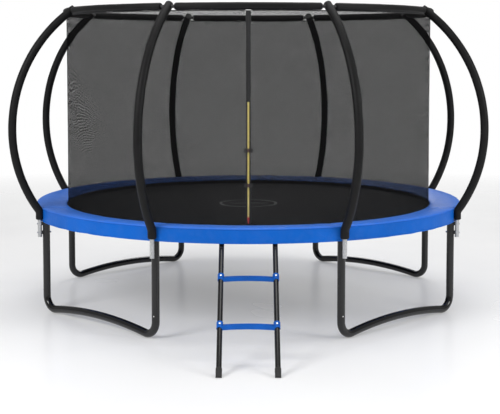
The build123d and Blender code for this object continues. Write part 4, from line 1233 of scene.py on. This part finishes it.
# ---------------------------------------------------------------- mat and springs
class TRAMPOLINE_OT_mat(bpy.types.Operator):
    """The jumping mat with its edge band and the tabs that hold the rings"""

    bl_idname = "trampoline.mat"
    bl_label = "Jumping mat"

    def execute(self, context):
        columns = 216
        field = np.linspace(0.02, MAT_R - 0.08, 46)
        radii = np.concatenate((field, np.linspace(MAT_R - 0.06, MAT_R, 7)))[:, None]
        turn = np.linspace(0, 2 * math.pi, columns, endpoint=False)[None, :]
        x, y = radii * np.sin(turn), -radii * np.cos(turn)
        uneven = ripple(23, 8, 1.1, 0.12)(x, y)
        tug = np.cos(turn * SPRINGS) * np.clip((radii - MAT_R + 0.05) / 0.05, 0, 1)
        height = MAT_TOP - 0.0015 + 0.0008 * uneven * np.clip((MAT_R - radii) / 0.2, 0, 1) - 0.0004 * tug
        radius = radii + 0.0009 * tug
        points = np.stack((radius * np.sin(turn), -radius * np.cos(turn), height), -1)
        build = Build()
        start = build.grid(points, np.stack((x, y), -1), close_v=True)
        build.verts.append(np.array(((0.0, 0.0, MAT_TOP - 0.0015),)))
        build.uv.append(np.zeros((1, 2)))
        build.count += 1
        for k in range(columns):
            build.face((start + k, start + (k + 1) % columns, build.count - 1))
        mat = build.make("mat_sheet", finish_of("mat_fabric"), "mat", "mat_fabric")
        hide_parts("jump_mat")

        band = Build()
        low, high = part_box("mat_edge_band")
        outer, width = high.x, 0.04
        across = np.linspace(0, 1, 13)
        ridge = 0.0016 + 0.0006 * np.abs(np.sin(across * math.pi * 6))
        ridge[0] = ridge[-1] = 0.0
        r = outer - width * (1 - across)
        turns = np.linspace(0, 2 * math.pi, 361)[:, None]
        pucker = 0.0003 * np.cos(turns * SPRINGS)
        z = low.z - 0.0008 + ridge[None, :] + pucker
        top = np.stack(np.broadcast_arrays(r * np.sin(turns), -r * np.cos(turns), z), -1)
        uv = np.stack(np.broadcast_arrays(turns * outer, r[None, :]), -1)
        band.grid(top[:-1], uv[:-1], close_u=True)
        under = top[:-1].copy()
        under[..., 2] = low.z - 0.0042 - ridge[None, :] * 0.4
        band.grid(under, uv[:-1], close_u=True, flip=True)
        edge_band = band.make("mat_band", finish_of("webbing"), "mat", "webbing")
        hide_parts("mat_edge_band")

        rows = Build()
        for row in (outer - 0.036, outer - 0.022, outer - 0.006):
            for k in range(720):
                out, along = out_and_round(k * 0.5)
                centre = out * row + np.array((0, 0, low.z + 0.0011))
                brick(rows, centre, along, out, (0, 0, 1), 0.011, 0.0011, 0.0006, 0.6)
        rows.make("mat_stitching", finish_of("thread"), "mat", "webbing", smooth=False)

        tabs = Build()
        for n in range(SPRINGS):
            out, along = out_and_round(n * 360 / SPRINGS)
            wire = RING_MIDDLE_R - 0.014
            profile = [
                (MAT_R - 0.03, 0.0031), (MAT_R - 0.008, 0.0031), (wire, 0.0034), (wire + 0.0026, 0.002),
                (wire + 0.0034, 0.0), (wire + 0.0026, -0.002), (wire, -0.0046), (MAT_R - 0.008, -0.0052),
            ]
            profile += [(MAT_R - 0.03, -0.0052)]
            line = [out * r + np.array((0, 0, MAT_TOP + z)) for r, z in profile]
            strap(tabs, line, along, 0.026, 0.0013)
        tab_piece = tabs.make("ring_tabs", finish_of("webbing"), "mat", "webbing")
        return {"FINISHED"}


class TRAMPOLINE_OT_springs(bpy.types.Operator):
    """The seventy-two close-wound springs with their hooks"""

    bl_idname = "trampoline.springs"
    bl_label = "Springs"

    def path(self):
        """The wire's line in the spring's own axes: along, sideways and up, from mat to frame."""
        length = math.hypot(SPRING_OUTER_R - SPRING_INNER_R, SPRING_OUTER_Z - MAT_TOP)
        pitch = settings().spring_pitch
        coil_start, coil_end = 0.0165, length - 0.0135
        turns = int((coil_end - coil_start) / pitch)
        per_turn = 12
        points = []
        for degree in range(-130, 91, 22):
            turn = math.radians(180 - degree)
            points.append((-0.0025 + 0.006 * math.cos(turn), 0.0, -0.006 * math.sin(turn)))
        points = points[::-1]
        points.append((0.009, 0.002, 0.0035))
        for k in range(turns * per_turn + 1):
            turn = 2 * math.pi * k / per_turn
            ease = min(1.0, k / 5, (turns * per_turn - k) / 5 + 0.35)
            reach = SPRING_COIL_R * max(0.35, ease)
            place = coil_start + (coil_end - coil_start) * k / (turns * per_turn)
            points.append((place, reach * math.sin(turn), reach * math.cos(turn)))
        points.append((length - 0.008, 0.0, 0.0026))
        points.append((length - 0.001, 0.0, 0.0046))
        points.append((length + 0.006, 0.0, 0.0052))
        points.append((length + 0.0105, 0.0, 0.0022))
        points.append((length + 0.0115, 0.0, -0.0035))
        return np.array(points), length

    def execute(self, context):
        path, length = self.path()
        run = SPRING_OUTER_R - SPRING_INNER_R
        rise = SPRING_OUTER_Z - MAT_TOP
        sides = 5
        tangent = np.gradient(path, axis=0)
        tangent /= np.linalg.norm(tangent, axis=1)[:, None]
        first = np.cross(tangent, np.broadcast_to((0.92, 0.3, 0.2), tangent.shape))
        first /= np.linalg.norm(first, axis=1)[:, None]
        second = np.cross(tangent, first)
        angles = np.linspace(0, 2 * math.pi, sides, endpoint=False)
        level = np.cos(angles)[None, :, None] * first[:, None, :]
        ring = level + np.sin(angles)[None, :, None] * second[:, None, :]
        local = path[:, None, :] + SPRING_WIRE_R * ring
        material = finish_of("zinc_steel")
        for n in range(SPRINGS):
            bearing = n * 360 / SPRINGS
            out, along = out_and_round(bearing)
            up = np.array((0.0, 0.0, 1.0))
            axis = (out * run + up * rise) / length
            lift = np.cross(axis, along)
            lift *= np.sign(lift[2])
            foot = np.array(spot(bearing, SPRING_INNER_R, MAT_TOP))
            points = foot + local[..., :1] * axis + local[..., 1:2] * along + local[..., 2:] * lift
            build = Build()
            start = build.grid(points, close_v=True)
            build.face([start + k for k in range(sides)])
            build.face([start + (len(path) - 1) * sides + k for k in reversed(range(sides))])
            spring = build.make(f"spring_{n:02d}", material, None, "zinc_steel")
            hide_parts("springs")
            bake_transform(spring)
        return {"FINISHED"}


# ---------------------------------------------------------------- ladder
class TRAMPOLINE_OT_ladder(bpy.types.Operator):
    """The raised ribs on the ladder's steps and the rings on its boots"""

    bl_idname = "trampoline.ladder"
    bl_label = "Ladder details"

    def execute(self, context):
        for place in ("upper", "lower"):
            build = Build()
            half = 0.162
            crown = 0.007
            x = np.linspace(-half, half, 33)
            reach = 0.1925
            chord = crown * (1 - (x / reach) ** 2)
            tread = STEP_SURFACE_Z[place] + chord
            for offset in (-0.0235, -0.0118, 0.0, 0.0118, 0.0235):
                line = np.stack((x, 0 * x + STEP_MIDDLE_Y[place] + offset, tread), -1)
                angles = np.linspace(0, math.pi, 6)
                section = np.stack((np.cos(angles) * 0.0017, np.sin(angles) * 0.0012), -1)
                fade = np.clip((half - np.abs(x)) / 0.006, 0.0, 1.0) ** 0.5
                rows = section[None] * fade[:, None, None]
                deep = rows[..., :1] * np.array((0, 1.0, 0))
                points = line[:, None, :] + deep + rows[..., 1:] * np.array((0, 0, 1.0))
                build.grid(points, flip=True)
            build.make(f"step_ribs_{place}", finish_of("blue_step"), "ladder", "blue_step")
        rings = Build()
        foot = np.array((0.0, LADDER_FOOT_Y, 0.0))
        up_rail = np.array((0.0, math.cos(LADDER_SLOPE), math.sin(LADDER_SLOPE)))
        across = np.array((0.0, -math.sin(LADDER_SLOPE), math.cos(LADDER_SLOPE)))
        side = np.array((1.0, 0.0, 0.0))
        for x in (-LADDER_HALF, LADDER_HALF):
            for along in (0.046, 0.054, 0.062, 0.07):
                centre = foot + up_rail * along + side * x
                turns = np.linspace(0, 2 * math.pi, 32, endpoint=False)
                tube = np.linspace(0, 2 * math.pi, 6, endpoint=False)
                ways = np.cos(turns)[:, None] * side + np.sin(turns)[:, None] * across
                section = np.stack((0.0207 + 0.0011 * np.cos(tube), 0.0016 * np.sin(tube)), -1)
                points = centre + section[None, :, :1] * ways[:, None, :] + section[None, :, 1:] * up_rail
                rings.grid(points, close_u=True, close_v=True)
        rings.make("boot_rings", finish_of("rubber"), "ladder", "rubber")
        return {"FINISHED"}


# ---------------------------------------------------------------- finishes of the frame's own pieces
class TRAMPOLINE_OT_finishes(bpy.types.Operator):
    """Finishes of the tubes, fasteners and mouldings that come with the frame"""

    bl_idname = "trampoline.finishes"
    bl_label = "Tube and fastener finishes"

    def execute(self, context):
        slots = {part["node"]: part["material_slot"] for part in frame["record"]["subparts"]}
        for node, made in frame["nodes"].items():
            material = finish_of(slots[node])
            if not made.material_slots:
                made.data.materials.append(material)
            for place in made.material_slots:
                place.material = material
        return {"FINISHED"}


# ---------------------------------------------------------------- stage
class TRAMPOLINE_OT_stage(bpy.types.Operator):
    """Pale floor, soft studio light and the camera"""

    bl_idname = "trampoline.stage"
    bl_label = "Stage and camera"

    def light(self, name, place, size, power, aim=(0, 0, 0.9)):
        lamp = bpy.data.lights.new(name, "AREA")
        lamp.shape = "DISK"
        lamp.size = size
        lamp.energy = power
        made = bpy.data.objects.new(name, lamp)
        made.location = place
        made.rotation_euler = (Vector(aim) - Vector(place)).to_track_quat("-Z", "Y").to_euler()
        bpy.context.scene.collection.objects.link(made)

    def execute(self, context):
        scene = bpy.context.scene
        camera = bpy.data.cameras.new("camera")
        camera.lens = 84.24
        camera.shift_x = 0.0032
        camera.shift_y = -0.15
        camera.clip_end = 200
        holder = bpy.data.objects.new("camera", camera)
        holder.location = (0, -10.301, 2.147)
        holder.rotation_euler = (math.radians(90 - 3.918), 0, 0)
        scene.collection.objects.link(holder)
        scene.camera = holder
        scene.view_settings.view_transform = "Standard"

        world = bpy.data.worlds.new("studio")
        world.use_nodes = True
        tree = world.node_tree
        seen = tree.nodes.new("ShaderNodeLightPath")
        strength = tree.nodes.new("ShaderNodeMapRange")
        strength.inputs["To Min"].default_value = 0.34
        strength.inputs["To Max"].default_value = 1.0
        backdrop = tree.nodes["Background"]
        backdrop.inputs["Color"].default_value = (1.0, 1.0, 1.0, 1.0)
        tree.links.new(seen.outputs["Is Camera Ray"], strength.inputs["Value"])
        tree.links.new(strength.outputs["Result"], backdrop.inputs["Strength"])
        scene.world = world

        reach = 40.0
        turns = np.linspace(0, 2 * math.pi, 65)[:-1]
        verts = [(reach * math.sin(t), reach * math.cos(t), 0.0) for t in turns]
        floor = bpy.data.meshes.new("floor")
        floor.from_pydata(verts, [], [tuple(range(len(verts)))[::-1]])
        # The floor glows faintly white (emission 0.2): painted light that lifts the shadow under the
        # trampoline and lights its underside.
        paint = Paint("floor", specular_ior_level=0.4, emission_strength=0.2)
        paint.shader.inputs["Emission Color"].default_value = (1.0, 1.0, 1.0, 1.0)
        place = paint.place()
        x, y, _ = paint.parts(place)
        cloudy = paint.noise(place, 0.6, 3.0)
        paint.feed(
            base_color=paint.mix(cloudy, rgba((0.86, 0.86, 0.87)), rgba((0.9, 0.9, 0.9))),
            roughness=paint.spread(cloudy, 0.3, 0.7, 0.22, 0.28),
            alpha=paint.spread((x * x + y * y).math("SQRT"), 4.5, 11.0, 1.0, 0.0),
        )
        floor.materials.append(paint.material)
        ground = bpy.data.objects.new("floor", floor)
        scene.collection.objects.link(ground)

        self.light("overhead", (0.5, 0.5, 7.5), 7.0, 300)
        self.light("key", (-5.5, -6.5, 5.5), 3.5, 380)
        self.light("fill", (6.5, -5.0, 4.0), 3.5, 230)
        self.light("back", (1.0, 8.0, 5.0), 4.0, 150)
        return {"FINISHED"}


# ---------------------------------------------------------------- panel and running
OPERATORS = (
    TRAMPOLINE_OT_stage,
    TRAMPOLINE_OT_finishes,
    TRAMPOLINE_OT_pole_foam,
    TRAMPOLINE_OT_hoop_foam,
    TRAMPOLINE_OT_net,
    TRAMPOLINE_OT_door,
    TRAMPOLINE_OT_pad,
    TRAMPOLINE_OT_skirt,
    TRAMPOLINE_OT_mat,
    TRAMPOLINE_OT_springs,
    TRAMPOLINE_OT_ladder,
)


class TRAMPOLINE_PT_panel(bpy.types.Panel):
    """Lists the trampoline's pieces, sizes and colours"""

    bl_idname = "TRAMPOLINE_PT_panel"
    bl_label = "Trampoline"
    bl_space_type = "VIEW_3D"
    bl_region_type = "UI"
    bl_category = "Trampoline"

    def draw(self, context):
        for operator in OPERATORS:
            self.layout.operator(operator.bl_idname)
        for name in TrampolineSettings.__annotations__:
            self.layout.prop(context.scene.trampoline, name)


CLASSES = (TrampolineSettings, *OPERATORS, TRAMPOLINE_PT_panel)


def register():
    for cls in CLASSES:
        bpy.utils.register_class(cls)
    bpy.types.Scene.trampoline = bpy.props.PointerProperty(type=TrampolineSettings)


def unregister():
    del bpy.types.Scene.trampoline
    for cls in reversed(CLASSES):
        bpy.utils.unregister_class(cls)


def main():
    register()
    for operator in OPERATORS:
        group, name = operator.bl_idname.split(".")
        getattr(getattr(bpy.ops, group), name)()


if __name__ == "__main__":
    main()
